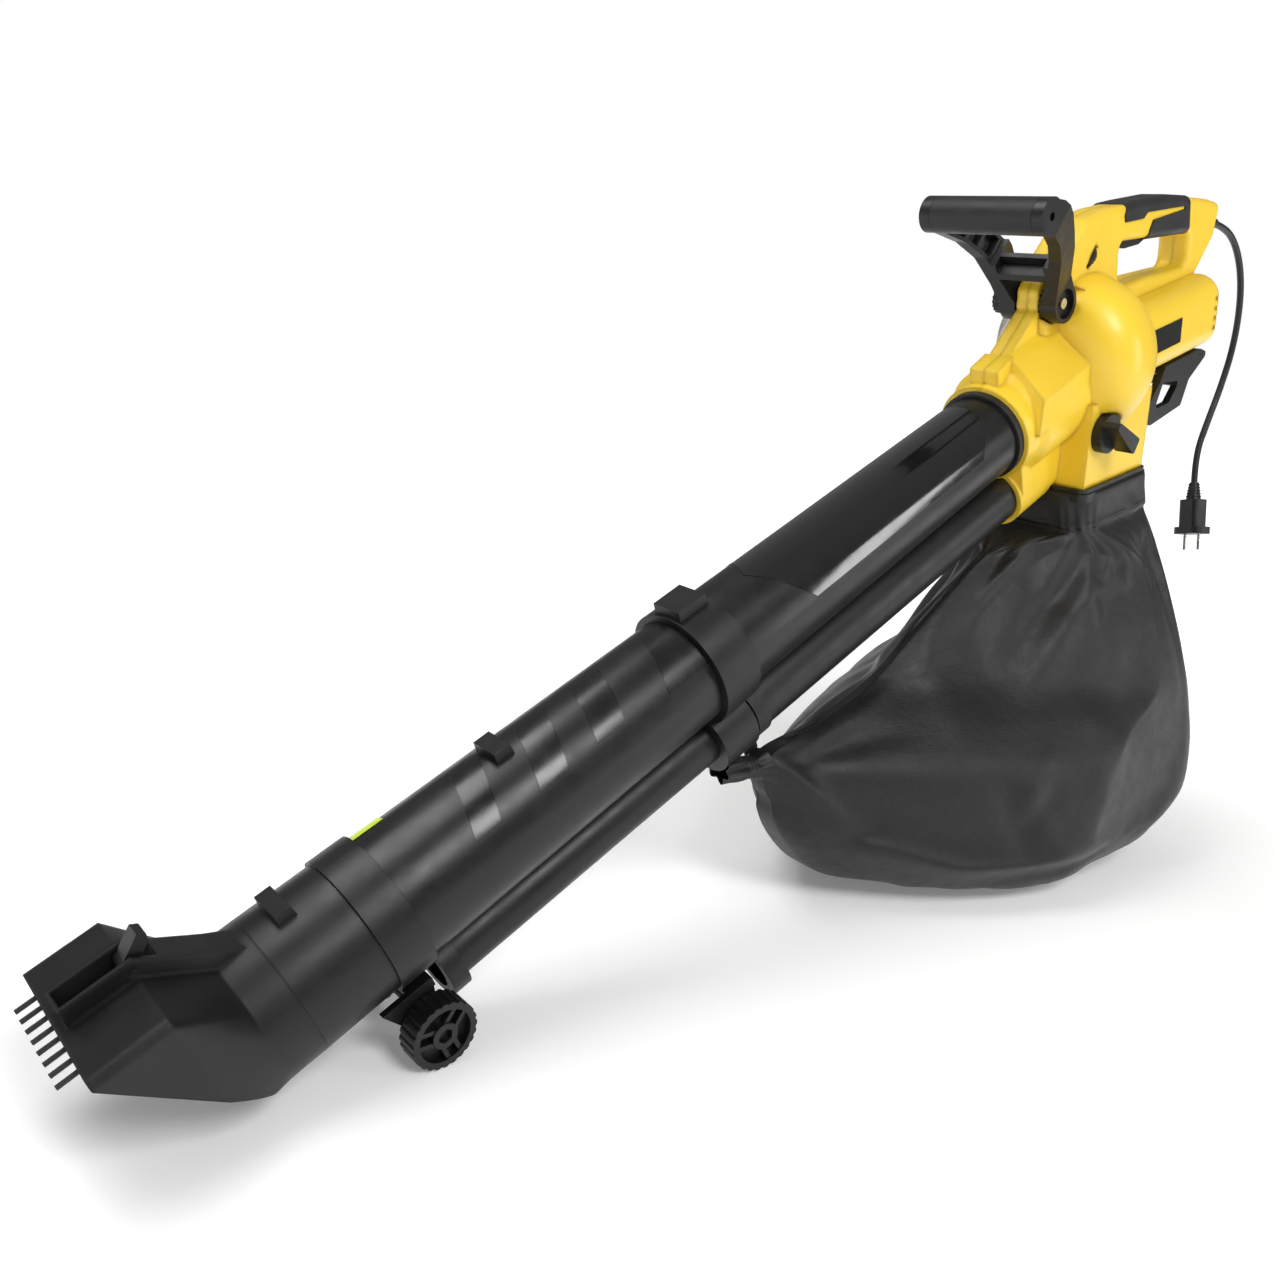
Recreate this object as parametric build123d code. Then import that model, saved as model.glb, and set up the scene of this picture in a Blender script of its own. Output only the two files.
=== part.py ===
from build123d import *
import os
from math import cos, sin, tan, pi, radians, sqrt

# Electric garden blower and vacuum with a suction tube, a blow tube, a fan housing, two handles and a bag.
# Sizes are millimetres. The machine is drawn along its suction tube: +X runs from the nozzle to the motor,
# +Z is the machine's own top and +Y its left side, with X = 0 where the nozzle meets the tube.
# The last section tips it back by TILT, so that it stands on its wheels and its bag.

# Stance
TILT = 28.0
BODY_TILT = 10.0
OUTLET_TILT = 15.5

# Fits
FIT = 0.15
RUN = 0.05
GAP = 0.3
SEAM = 0.05
WALL = 3.0

# Suction tube, which narrows to the rear
TUBE_R_FRONT = 46.3
TUBE_R_REAR = 38.2
TUBE_LENGTH = 740.0
TUBE_WALL = 2.2
TUBE_INSERT = 28.0
TUBE_SPLIT = 364.0
LUG_X = 187.0
LUG_LENGTH = 22.0
LUG_WIDTH = 24.0
LUG_RISE = 7.0

# Neck, collars and the twin coupling
NECK_LENGTH = 53.0
NECK_RISE = 1.6
COLLAR_LENGTH = 27.0
COLLAR_RISE = 3.8
COUPLING_LENGTH = 36.0
COUPLING_RISE = 5.6
LATCH_WIDTH = 27.0
LATCH_RISE = 7.0

# Blow tube under the suction tube
BLOW_DROP = 68.0
BLOW_LOWER_R = 20.0
BLOW_UPPER_R = 25.0
BLOW_WALL = 2.0
BLOW_START = 84.0
BLOW_INSERT = 22.0
BLOW_SOCKET_WALL = 4.5

# Nozzle hood
HOOD_WIDTH = 117.0
HOOD_FRONT = -103.0
HOOD_BACK = -58.0
HOOD_TOP = 75.0
HOOD_BOTTOM = -18.0
HOOD_CORNER = 6.0
HOOD_NECK = 24.0
HOOD_WALL = 2.6
LIP_HEIGHT = 5.0
MOUTH_SLOPE = 55.0
RIB_HALF = 11.0
RIB_TOP = 87.0
SLOT_HALF = 8.0
SLOT_FRONT = -95.0
SLOT_BACK = -44.0

# Rake comb and its thumb lever
TINE_COUNT = 8
TINE_PITCH = 10.6
TINE_R = 1.5
TINE_REACH = 12.5
TINE_Z = 69.0
COMB_DEPTH = 6.0
LEVER_X = -58.0
LEVER_Z = 80.0
LEVER_ARM = 12.1
LEVER_PIN_R = 2.0
LEVER_HUB_R = 5.0
LEVER_TIP_X = -42.0
LEVER_TIP_Z = 95.0
LEVER_HALF = 6.0

# Wheels
WHEEL_R = 23.6
WHEEL_WIDTH = 17.0
WHEEL_OUTER_Y = 50.0
WHEEL_X = 59.4
WHEEL_Z = -76.4
WHEEL_RIM = 5.0
WHEEL_HUB_R = 9.0
WHEEL_WEB = 5.0
TREAD_COUNT = 24
TREAD_DEPTH = 0.9
AXLE_R = 3.0
CLIP_R = 4.6
CLIP_THICK = 1.6
CLIP_DEPTH = 4.0
FORK_THICK = 5.0
FORK_FRONT = 24.0
FORK_REAR = 14.0
FORK_FOOT = 7.0
FORK_RING = 14.0
FORK_WEB = 12.0

# Fan housing, on an axis that drops BODY_TILT towards the rear
FAN_SETBACK = 130.0
FAN_X = TUBE_LENGTH + FAN_SETBACK
FAN_Z = 12.0
FAN_CASE_CORNER = 7.0
FAN_CASE_R = 81.0
FAN_CASE_FRONT = 20.0
FAN_CASE_FLAT = 4.0
FAN_CASE_ROUND = 75.0
FAN_FRONT_ROUND = 40.0
FAN_CASE_BACK_ANGLE = 60.0
SNOUT_R = 51.0
SNOUT_LIP_R = 45.0
SNOUT_BORE_R = 37.0
SNOUT_STEP = 26.0
HUMP_HALF = 14.0
HUMP_RISE = 7.0
HUMP_LENGTH = 26.0
CONE_R = 60.4
CONE_ANGLE = 30.0
WINDOW_END = 12.0
WINDOW_THICK = 4.0
PORT_ABOVE = 22.0
PORT_EDGE = 6.0
SEAL_LENGTH = 7.0
SEAL_RISE = 3.0
FLANK_HALF = 50.0
FLANK_TOP = 62.0
FLANK_LOW = 30.0

# Motor casing, in the body's own axes
CASE_WIDTH = 92.0
CASE_HEIGHT = 74.0
CASE_CORNER = 24.0
CASE_START = 40.0
CASE_END = 216.0
GRILLE_DEPTH = 12.0
GRILLE_BULGE = 9.0
GRILLE_DRAFT = 7.0
LOUVRE_LENGTH = 7.0
LOUVRE_COUNT = 6
LOUVRE_PITCH = 9.6
LOUVRE_HEIGHT = 4.2

# Fan and motor
SHAFT_R = 5.0
SHAFT_FRONT = -26.0
SHAFT_BACK = 184.0
IMPELLER_R = 62.0
IMPELLER_FRONT = -13.0
IMPELLER_BACK = 23.0
IMPELLER_PLATE = 3.0
IMPELLER_HUB_R = 14.0
BLADE_COUNT = 10
BLADE_THICK = 2.4
BLADE_LEAN = 28.0
BLADE_SPAN = 40.0
PLATE_X = 50.0
PLATE_THICK = 4.0
BEARING_R = 13.0
BEARING_WIDTH = 8.0
STATOR_FRONT = 80.0
STATOR_LENGTH = 72.0
STATOR_BORE_R = 26.0
ARMATURE_R = 25.0
COMMUTATOR_R = 14.0
BRACKET_FRONT = 170.0
BRACKET_THICK = 13.0

# Rear handle
GRIP_HALF = 17.0
GRIP_ROUND = 6.0
GRIP_SKIN = 1.6
GRIP_CORNER = 9.0
GRIP_OUTLINE = [
    (-54, 46),
    (-50, 88),
    (-30, 101),
    (21, 126),
    (59, 121),
    (112, 109),
    (168, 95),
    (227, 73),
    (256, 61),
    (277, 50),
    (263, 20),
    (224, -5),
    (190, -30),
    (40, 8),
]
GRIP_OPENING = [(78, 84), (213, 44), (207, 11), (130, 31), (74, 41)]
BOSS_X = FAN_X - 36.0
BOSS_Z = FAN_Z + 72.0
BOSS_R = 17.0
BOSS_HALF = 10.0
TRIGGER_HALF = 9.0
TRIGGER_PIN_R = 1.8
TRIGGER_X = FAN_X + 140.0
TRIGGER_Z = FAN_Z + 73.0
DIAL_X = FAN_X + 28.0
DIAL_Y = -8.0
DIAL_Z = FAN_Z + 89.0
DIAL_TILT = 50.0
DIAL_R = 12.0
DIAL_THICK = 5.0
BOARD_THICK = 2.0
BOARD_LOW = 9.0
BOARD_HIGH = 13.0
SCREW_R = 2.0
SCREW_HEAD_R = 3.6
SCREW_BOSS_R = 5.5
SCREW_SINK = 4.0
SCREW_HEAD = 3.0
SCREW_REACH = 11.0
SCREW_PLACES = [(-6, 92), (64, 97), (246, 28)]
GRIP_SKIN_AREA = [
    (92.6, 140),
    (92.6, 116.8),
    (84.7, 105.7),
    (85.6, 99.5),
    (118, 91.4),
    (125.1, 94.8),
    (198, 75),
    (198, 72),
    (137.1, 83.3),
    (130, 76.2),
    (124, 60),
    (206, 36),
    (210, 115),
]
TRIGGER_OUTLINE = [(86, 85), (146, 77), (148, 70), (140, 65.5), (125, 64), (98, 70), (87, 75)]
TRIGGER_SLOT = [(84, 50), (84, 93), (150, 85), (150, 46)]
SWITCH_X = FAN_X + 105.0
SWITCH_Z = FAN_Z + 98.0
SWITCH_LENGTH = 32.0
SWITCH_HEIGHT = 12.0
SWITCH_TILT = 15.0
PLATE_LENGTH = 55.0
PLATE_HEIGHT = 24.0
PLATE_CENTRE = 111.0
PLATE_DEPTH = 0.8

# Front handle, from the pivot boss up to the bar
BAR_X = BOSS_X - 64.0
BAR_Z = BOSS_Z + 100.0
BAR_R = 11.0
BAR_SLEEVE_R = 15.0
BAR_LENGTH = 116.0
ARM_PIVOT_HALF = 28.0
ARM_R = 17.0
ARM_THICK = 12.0
ARM_CLEAR = 1.2
ARM_SWEEP = 30.0
ARM_CORNER = 11.0
ARM_SKIN = 3.5
ARM_RIB = 2.5
CROSSBAR_HEIGHT = 14.0
CROSSBAR_DEPTH = 15.0
CROSSBAR_AT = 42.0
TROUGH_DEPTH = 8.0
TROUGH_WIDTH = 17.0
TROUGH_AT = 2.0
PIVOT_BOLT_R = 3.0
PIVOT_HEAD_R = 4.6
PIVOT_HEAD = 3.0
PIVOT_RECESS_R = 13.0
PIVOT_RECESS = 5.0
RATCHET_R = 15.5
RATCHET_THICK = 2.0
RATCHET_TEETH = 20
ARM_SIDE = [
    (17, 0),
    (9, 26),
    (2, 50),
    (-10, 69),
    (-24, 88),
    (-44, 106),
    (-64, 115),
    (-79, 100),
    (-66, 87),
    (-42, 68),
    (-28, 49),
    (-20, 22),
    (-17, 0),
]
KNOB_R = 12.5
KNOB_LENGTH = 10.0
KNOB_RIBS = 18

# Changeover flap and its lever
FLAP_X = FAN_X - 34.0
FLAP_Z = FAN_Z - 50.0
FLAP_SHAFT_R = 4.0
FLAP_LENGTH = 45.0
FLAP_THICK = 3.0
FLAP_REST = 20.0
MODE_BASE_R = 18.0
MODE_STAND = 9.0
MODE_LENGTH = 46.0
MODE_HEIGHT = 17.0
MODE_NOSE = 3.5
MODE_TAIL = 8.0
MODE_SLOPE = 50.0
POCKET_CLEAR = 2.0

# Outlet block, flange and bag frame, in axes that slope by OUTLET_TILT
OUTLET_X = FAN_X - 14.0
OUTLET_Z = FAN_Z - 107.5
OUTLET_HALF_X = 55.0
OUTLET_HALF_Y = 57.0
OUTLET_RISE = 78.0
FLANGE_EDGE = 4.0
FLANGE_THICK = 4.0
FRAME_THICK = 8.0
FRAME_EDGE = 1.0
FLANGE_CORNER = 9.0

# Rear bracket
HOOK_HALF = 36.0
HOOK_PLATE = 7.0
HOOK_ROD_R = 5.0
HOOK_SIDE = [(136, 0), (210, 0), (228, -8), (190, -27), (177, -51), (114, -55), (92, -46), (127, -14)]
HOOK_RODS = [(181, -28), (108, -46)]
HOOK_EYE = [(134, -16), (170, -23), (150, -41), (120, -40)]

# Bag
BAG_WALL = 1.6
BAG_Y = -8.0
BAG_MOUTH_CORNER = 14.0
BAG_LEVELS = [
    (340, 746, 876, 75, 30, 790, 35),
    (300, 655, 887, 96, 30, 760, 55),
    (250, 560, 906, 123, 25, 730, 70),
    (180, 440, 930, 150, 18, 700, 85),
    (140, 404, 937, 158, 28, 690, 90),
    (100, 426, 936, 161, 50, 690, 95),
    (40, 508, 906, 141, 56, 700, 80),
    (0, 586, 850, 104, 48, 715, 50),
]
STRAP_BEHIND = 28.0
STRAP_X = TUBE_SPLIT + STRAP_BEHIND
STRAP_WIDTH = 14.0
STRAP_THICK = 2.0
STRAP_DROP = 22.0

# Mains lead and plug
CORD_R = 3.5
RELIEF_LENGTH = 44.0
RELIEF_R = 8.0
RELIEF_SEAT = 13.0
RELIEF_NECK_R = 5.4
RELIEF_TIP_R = 5.0
RELIEF_X = FAN_X + 259.4
RELIEF_Z = FAN_Z + 41.6
CORD_ROUTE = [
    (0, 0, 0),
    (32, 0, 0),
    (70, 0, -14),
    (102, 0, -42),
    (122, 0, -80),
    (129, 0, -123),
    (122, 0, -166),
    (107, -1, -206),
    (95, -2, -243),
    (92, -9.5, -274.5),
]
PLUG_LENGTH = 32.0
PLUG_WIDTH = 25.0
PLUG_DEPTH = 21.0
PLUG_FLANGE_W = 37.0
PLUG_FLANGE_D = 26.0
PLUG_FLANGE_T = 8.0
PLUG_BOOT = 20.0
PLUG_TURN = 71.0
PIN_R = 2.4
PIN_LENGTH = 19.0
PIN_SPACING = 19.0
PIN_ROOT = 8.0
PIN_ROOT_R = 1.9
PIN_COLLAR = 1.5

BODY = Pos(FAN_X, 0, FAN_Z) * Rot(0, BODY_TILT, 0)
OUTLET = Pos(OUTLET_X, 0, OUTLET_Z) * Rot(0, OUTLET_TILT, 0)
BIG = 2000.0


def tube_r(x):
    """Outer radius of the suction tube at a distance from the nozzle."""
    return TUBE_R_FRONT + (TUBE_R_REAR - TUBE_R_FRONT) * x / TUBE_LENGTH


def turned(points):
    """Solid of revolution about X from (x, radius) points."""
    return revolve(Plane.XZ * make_face(Polyline(*points, close=True)), Axis.X)


def outline(points, corner=0.0):
    """Closed face in the XZ plane, with rounded corners if a radius is given."""
    if corner:
        return Plane.XZ * make_face(FilletPolyline(*points, radius=corner, close=True))
    return Plane.XZ * make_face(Polyline(*points, close=True))


def slab(points, y0, y1, corner=0.0):
    """Outline in the XZ plane carried from y0 to y1."""
    return extrude(Pos(0, y1, 0) * outline(points, corner), amount=y1 - y0)


def block(x0, x1, y0, y1, z0, z1):
    """Box between two corners."""
    middle = Pos((x0 + x1) / 2, (y0 + y1) / 2, (z0 + z1) / 2)
    return middle * Box(x1 - x0, y1 - y0, z1 - z0)


def rod_x(x0, x1, radius, y=0.0, z=0.0):
    """Cylinder along X."""
    return Pos((x0 + x1) / 2, y, z) * Rot(0, 90, 0) * Cylinder(radius, x1 - x0)


def rod_y(x, z, radius, y0, y1):
    """Cylinder along Y."""
    return Pos(x, (y0 + y1) / 2, z) * Rot(90, 0, 0) * Cylinder(radius, y1 - y0)


def cone_ring(x0, x1, inner, outer):
    """Ring about X whose bore and outside follow the tube's draft, at two offsets from its surface."""
    a, b = tube_r(x0), tube_r(x1)
    return turned([(x0, a + inner), (x1, b + inner), (x1, b + outer), (x0, a + outer)])


nodes = {}


def tube_core(x0, x1, offset):
    """Solid plug along the suction tube, offset from its outer surface."""
    return turned([(x0, 0), (x1, 0), (x1, tube_r(x1) + offset), (x0, tube_r(x0) + offset)])


def lug(x, length, width, rise, surface, lead=3.0):
    """Moulded lug on top of the tube, standing on a surface at an offset from the tube."""
    top = tube_r(x) + surface + rise
    start, stop = x - length / 2, x + length / 2
    shape = slab([(start, 0), (start + lead, top), (stop - 2 * lead, top), (stop, 0)], -width / 2, width / 2)
    return shape - tube_core(start - 1, stop + 1, surface - SEAM)


# Suction tube, in two lengths that meet inside the coupling
tube_end = TUBE_LENGTH + TUBE_INSERT
lower = cone_ring(GAP, TUBE_SPLIT, -TUBE_WALL, 0)
nodes["suction_tube_lower"] = lower + lug(LUG_X, LUG_LENGTH, LUG_WIDTH, LUG_RISE, 0)
nodes["suction_tube_upper"] = cone_ring(TUBE_SPLIT, tube_end, -TUBE_WALL, 0)

# Neck of the nozzle and the collar behind it
neck = cone_ring(0, NECK_LENGTH, FIT, NECK_RISE)
nodes["nozzle_neck"] = neck + lug(NECK_LENGTH * 0.42, 20, 27, 6.5, NECK_RISE)
collar_end = NECK_LENGTH + COLLAR_LENGTH
nodes["lower_collar"] = cone_ring(NECK_LENGTH, collar_end, FIT, COLLAR_RISE)

# Twin coupling that joins both lengths of both tubes
coupling_x0 = TUBE_SPLIT - COUPLING_LENGTH / 2
coupling_x1 = TUBE_SPLIT + COUPLING_LENGTH / 2
blow_ring_r = BLOW_UPPER_R + BLOW_SOCKET_WALL
coupling = cone_ring(coupling_x0, coupling_x1, FIT, COUPLING_RISE)
coupling += rod_x(coupling_x0, coupling_x1, blow_ring_r, 0, -BLOW_DROP)
coupling -= tube_core(coupling_x0 - 1, coupling_x1 + 1, FIT)
coupling -= rod_x(coupling_x0 - 1, TUBE_SPLIT, BLOW_LOWER_R + FIT, 0, -BLOW_DROP)
coupling -= rod_x(TUBE_SPLIT, coupling_x1 + 1, BLOW_UPPER_R + FIT, 0, -BLOW_DROP)
nodes["tube_coupling"] = coupling
nodes["tube_latch"] = lug(TUBE_SPLIT, COUPLING_LENGTH, LATCH_WIDTH, LATCH_RISE, COUPLING_RISE + SEAM)

# Blow tube
blow_end = TUBE_LENGTH + BLOW_INSERT
blow_lower = rod_x(BLOW_START, TUBE_SPLIT, BLOW_LOWER_R, 0, -BLOW_DROP)
blow_lower -= rod_x(BLOW_START - 1, TUBE_SPLIT + 1, BLOW_LOWER_R - BLOW_WALL, 0, -BLOW_DROP)
nodes["blow_tube_lower"] = blow_lower
blow_upper = rod_x(TUBE_SPLIT, blow_end, BLOW_UPPER_R, 0, -BLOW_DROP)
blow_upper -= rod_x(TUBE_SPLIT - 1, blow_end + 1, BLOW_UPPER_R - BLOW_WALL, 0, -BLOW_DROP)
nodes["blow_tube_upper"] = blow_upper


# Nozzle hood: a round neck that opens into a wide box, cut by a sloping mouth
def hood(shrink):
    """Outer or inner volume of the hood."""
    top, bottom = HOOD_TOP - shrink, HOOD_BOTTOM + shrink
    width, corner = HOOD_WIDTH - 2 * shrink, HOOD_CORNER - shrink
    centre = (top + bottom) / 2
    back = Plane(origin=(HOOD_BACK, 0, centre), x_dir=(0, 1, 0), z_dir=(1, 0, 0))
    round_end = Plane(origin=(-HOOD_NECK, 0, 0), x_dir=(0, 1, 0), z_dir=(1, 0, 0))
    section = RectangleRounded(width, top - bottom, corner)
    neck_r = tube_r(0) + NECK_RISE - shrink
    taper = loft([round_end * Circle(neck_r), back * section]) + rod_x(-HOOD_NECK, 0, neck_r)
    front = HOOD_FRONT + shrink
    return taper + extrude(back * section, amount=front - HOOD_BACK)


mouth_z = HOOD_TOP - LIP_HEIGHT
mouth_drop = 2 * HOOD_WIDTH
mouth_run = mouth_drop / tan(radians(MOUTH_SLOPE))
mouth_cut = slab(
    [
        (HOOD_FRONT - 10, mouth_z + 10 * tan(radians(MOUTH_SLOPE))),
        (HOOD_FRONT + mouth_run, mouth_z - mouth_drop),
        (HOOD_FRONT - 10, mouth_z - mouth_drop),
    ],
    -HOOD_WIDTH,
    HOOD_WIDTH,
)
rib = slab(
    [
        (HOOD_FRONT + 6, HOOD_TOP - 6),
        (HOOD_FRONT + 6, RIB_TOP),
        (LEVER_X + 3, RIB_TOP),
        (HOOD_BACK / 3, tube_r(0) + 11),
        (-4, tube_r(0)),
        (-4, tube_r(0) - 6),
    ],
    -RIB_HALF,
    RIB_HALF,
)
hood_body = hood(0) + rib - hood(HOOD_WALL) - mouth_cut
hood_body -= rod_x(-5, 1, tube_r(0) - HOOD_WALL + NECK_RISE)
hood_body -= block(SLOT_FRONT, SLOT_BACK, -SLOT_HALF, SLOT_HALF, TINE_Z - 6, RIB_TOP + 20)
hood_body -= rod_y(LEVER_X, LEVER_Z, LEVER_PIN_R + FIT, -RIB_HALF - 1, RIB_HALF + 1)
tine_ys = [(i - (TINE_COUNT - 1) / 2) * TINE_PITCH for i in range(TINE_COUNT)]
for y in tine_ys:
    hood_body -= rod_x(HOOD_FRONT - 1, HOOD_FRONT + HOOD_WALL + 1, TINE_R + FIT, y, TINE_Z)
nodes["nozzle_hood"] = hood_body

# Rake comb: slides back into the hood when the thumb lever is tipped
comb_front = HOOD_FRONT + HOOD_WALL + GAP
comb_back = comb_front + COMB_DEPTH
comb_half = (TINE_COUNT - 1) / 2 * TINE_PITCH + 2 * TINE_R
yoke = LEVER_HALF / 2 + 1.2
comb = block(comb_front, comb_back, -comb_half, comb_half, TINE_Z - 2.4, TINE_Z + 2.4)
comb += block(comb_back, LEVER_X - yoke, -SLOT_HALF + 3, SLOT_HALF - 3, TINE_Z - 2.4, TINE_Z + 2.4)
for y in tine_ys:
    comb += rod_x(HOOD_FRONT - TINE_REACH, comb_front + 1, TINE_R, y, TINE_Z)
nodes["rake_comb"] = comb

finger_r = LEVER_HALF / 2 - 0.4
lever = rod_y(LEVER_X, LEVER_Z, LEVER_HUB_R, -LEVER_HALF, LEVER_HALF)
lever += slab(
    [
        (LEVER_X - LEVER_HUB_R, LEVER_Z),
        (LEVER_X - 1, LEVER_Z + LEVER_HUB_R),
        (LEVER_TIP_X - 4, LEVER_TIP_Z),
        (LEVER_TIP_X, LEVER_TIP_Z - 3),
        (LEVER_TIP_X - 1, LEVER_TIP_Z - 8),
        (LEVER_X + LEVER_HUB_R - 1, LEVER_Z - 1),
    ],
    -LEVER_HALF,
    LEVER_HALF,
)
lever += block(LEVER_X - finger_r, LEVER_X + finger_r, -LEVER_HALF, LEVER_HALF, LEVER_Z - LEVER_ARM, LEVER_Z)
lever -= rod_y(LEVER_X, LEVER_Z, LEVER_PIN_R + RUN, -RIB_HALF, RIB_HALF)
nodes["rake_lever"] = lever
nodes["rake_pin"] = rod_y(LEVER_X, LEVER_Z, LEVER_PIN_R, -RIB_HALF, RIB_HALF)

# Wheel fork, axle and wheels
wheel_inner_y = WHEEL_OUTER_Y - WHEEL_WIDTH
fork_outer = wheel_inner_y - GAP - 0.7
fork_inner = fork_outer - FORK_THICK
fork_top = -(tube_r(collar_end) + COLLAR_RISE) + 3
fork_side = [
    (WHEEL_X - FORK_FRONT, fork_top),
    (WHEEL_X + FORK_REAR, fork_top),
    (WHEEL_X + FORK_FOOT, WHEEL_Z - FORK_FOOT),
    (WHEEL_X - FORK_FOOT, WHEEL_Z - FORK_FOOT),
]
ring_end = BLOW_START + FORK_RING
fork = slab(fork_side, -fork_outer, fork_outer) - slab(fork_side, -fork_inner, fork_inner)
fork += block(NECK_LENGTH + 2, WHEEL_X + FORK_REAR, -fork_outer, fork_outer, fork_top - 7, fork_top)
fork += block(NECK_LENGTH + 2, ring_end, -FORK_WEB, FORK_WEB, fork_top - 7, fork_top)
fork += rod_x(BLOW_START, ring_end, BLOW_LOWER_R + 6, 0, -BLOW_DROP)
fork -= rod_x(BLOW_START - 1, ring_end + 1, BLOW_LOWER_R + FIT, 0, -BLOW_DROP)
fork -= tube_core(0, ring_end + 6, FIT)
fork -= tube_core(0, collar_end + SEAM, COLLAR_RISE + SEAM)
fork -= rod_y(WHEEL_X, WHEEL_Z, AXLE_R + FIT, -fork_outer - 1, fork_outer + 1)
nodes["wheel_fork"] = fork
axle_half = WHEEL_OUTER_Y - CLIP_DEPTH
nodes["wheel_axle"] = rod_y(WHEEL_X, WHEEL_Z, AXLE_R, -axle_half, axle_half)


def wheel(side):
    """Road wheel with a ribbed tread, a recessed web, three pairs of spokes and a six-sided hub hole."""
    inner, outer = wheel_inner_y, WHEEL_OUTER_Y
    middle = (inner + outer) / 2
    ring = rod_y(0, 0, WHEEL_R, inner, outer) - rod_y(0, 0, WHEEL_R - WHEEL_RIM, inner - 1, outer + 1)
    web = rod_y(0, 0, WHEEL_R - WHEEL_RIM + 1, middle - WHEEL_WEB / 2, middle + WHEEL_WEB / 2)
    hub = rod_y(0, 0, WHEEL_HUB_R, inner, outer)
    solid = ring + web + hub
    spoke = block(WHEEL_HUB_R - 2, WHEEL_R - WHEEL_RIM + 1, middle, outer - 1, 3, 6)
    spoke += block(WHEEL_HUB_R - 2, WHEEL_R - WHEEL_RIM + 1, middle, outer - 1, -6, -3)
    for i in range(3):
        solid += Rot(0, 90 + 120 * i, 0) * spoke
    groove = rod_y(WHEEL_R + 1.4, 0, 1.4 + TREAD_DEPTH, inner - 1, outer + 1)
    for i in range(TREAD_COUNT):
        solid -= Rot(0, 360 * i / TREAD_COUNT, 0) * groove
    hexagon = Plane.XZ * RegularPolygon(CLIP_R + 0.8, 6)
    solid -= extrude(Pos(0, outer + 1, 0) * hexagon, amount=CLIP_DEPTH + CLIP_THICK + 1 + GAP)
    solid -= rod_y(0, 0, AXLE_R + RUN, inner - 1, outer + 1)
    return Pos(WHEEL_X, 0, WHEEL_Z) * (solid if side > 0 else mirror(solid, Plane.XZ))


nodes["wheel_left"] = wheel(1)
nodes["wheel_right"] = wheel(-1)
clip_y = axle_half - CLIP_THICK
clips = rod_y(WHEEL_X, WHEEL_Z, CLIP_R, clip_y, axle_half)
clips += rod_y(WHEEL_X, WHEEL_Z, CLIP_R, -axle_half, -clip_y)
nodes["axle_clips"] = clips - rod_y(WHEEL_X, WHEEL_Z, AXLE_R + 0.01, -axle_half - 1, axle_half + 1)


# Fan housing with motor casing and rear handle, moulded as a left and a right shell
def across(x):
    """Plane square to the X axis, with its own x along Y and its own y along Z."""
    return Plane(origin=(x, 0, 0), x_dir=(0, 1, 0), z_dir=(1, 0, 0))


def near_fan(points):
    """Points given from the centre of the fan, in the machine's own axes."""
    return [(FAN_X + x, FAN_Z + z) for x, z in points]


def fan_case(shrink):
    """Round fan case: flat in front, domed behind."""
    radius, corner = FAN_CASE_R - shrink, FAN_CASE_CORNER
    front, dome = shrink - FAN_CASE_FRONT, FAN_CASE_ROUND - shrink
    rise, sweep = FAN_CASE_R - FAN_CASE_ROUND, radians(FAN_CASE_BACK_ANGLE)
    back = (FAN_CASE_FLAT + dome * sin(sweep), rise + dome * cos(sweep))
    crown = (FAN_CASE_FLAT + dome * sin(sweep / 2), rise + dome * cos(sweep / 2))
    inset = corner * (1 - cos(pi / 4))
    edge = Polyline((front, 0), (front, radius - corner))
    edge += ThreePointArc((front, radius - corner), (front + inset, radius - inset), (front + corner, radius))
    edge += Line((front + corner, radius), (FAN_CASE_FLAT, radius))
    edge += ThreePointArc((FAN_CASE_FLAT, radius), crown, back)
    edge += Polyline(back, (back[0], 0), (front, 0))
    return BODY * revolve(Plane.XZ * make_face(edge), Axis.X)


def motor_case(shrink, start, stop):
    """Stretch of the motor casing's rounded section."""
    section = RectangleRounded(CASE_WIDTH - 2 * shrink, CASE_HEIGHT - 2 * shrink, CASE_CORNER - shrink)
    return BODY * extrude(across(start) * section, amount=stop - start)


def grip(grow, rounded):
    """Rear handle with its finger opening, grown outwards by a skin if asked."""
    loop = outline(near_fan(GRIP_OUTLINE), GRIP_CORNER) - outline(near_fan(GRIP_OPENING), GRIP_CORNER)
    if grow:
        loop = offset(loop, amount=grow)
    half = GRIP_HALF + grow
    solid = extrude(Pos(0, half, 0) * loop, amount=2 * half)
    if rounded:
        sides = solid.edges().group_by(Axis.Y)
        solid = fillet(sides[0] + sides[-1], GRIP_ROUND + grow)
    return solid


def fairing(shrink):
    """Rounded front of the fan case."""
    bend, top = FAN_FRONT_ROUND - shrink, FAN_CASE_R - shrink
    crown = (-bend * sin(pi / 4), top - bend * (1 - cos(pi / 4)))
    tip = (-bend, top - bend)
    edge = ThreePointArc((0, top), crown, tip)
    edge += Polyline(tip, (tip[0], 0), (0, 0), (0, top))
    return BODY * revolve(Plane.XZ * make_face(edge), Axis.X)


def front_cone(inset, start, stop):
    """Stretch of the cone that bounds the left front of the fan case, drawn in by an inset."""
    slope = tan(radians(CONE_ANGLE))
    base = CONE_R + slope * FAN_CASE_FRONT - inset / cos(radians(CONE_ANGLE))
    return BODY * turned([(start, 0), (start, base + slope * start), (stop, base + slope * stop), (stop, 0)])


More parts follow.
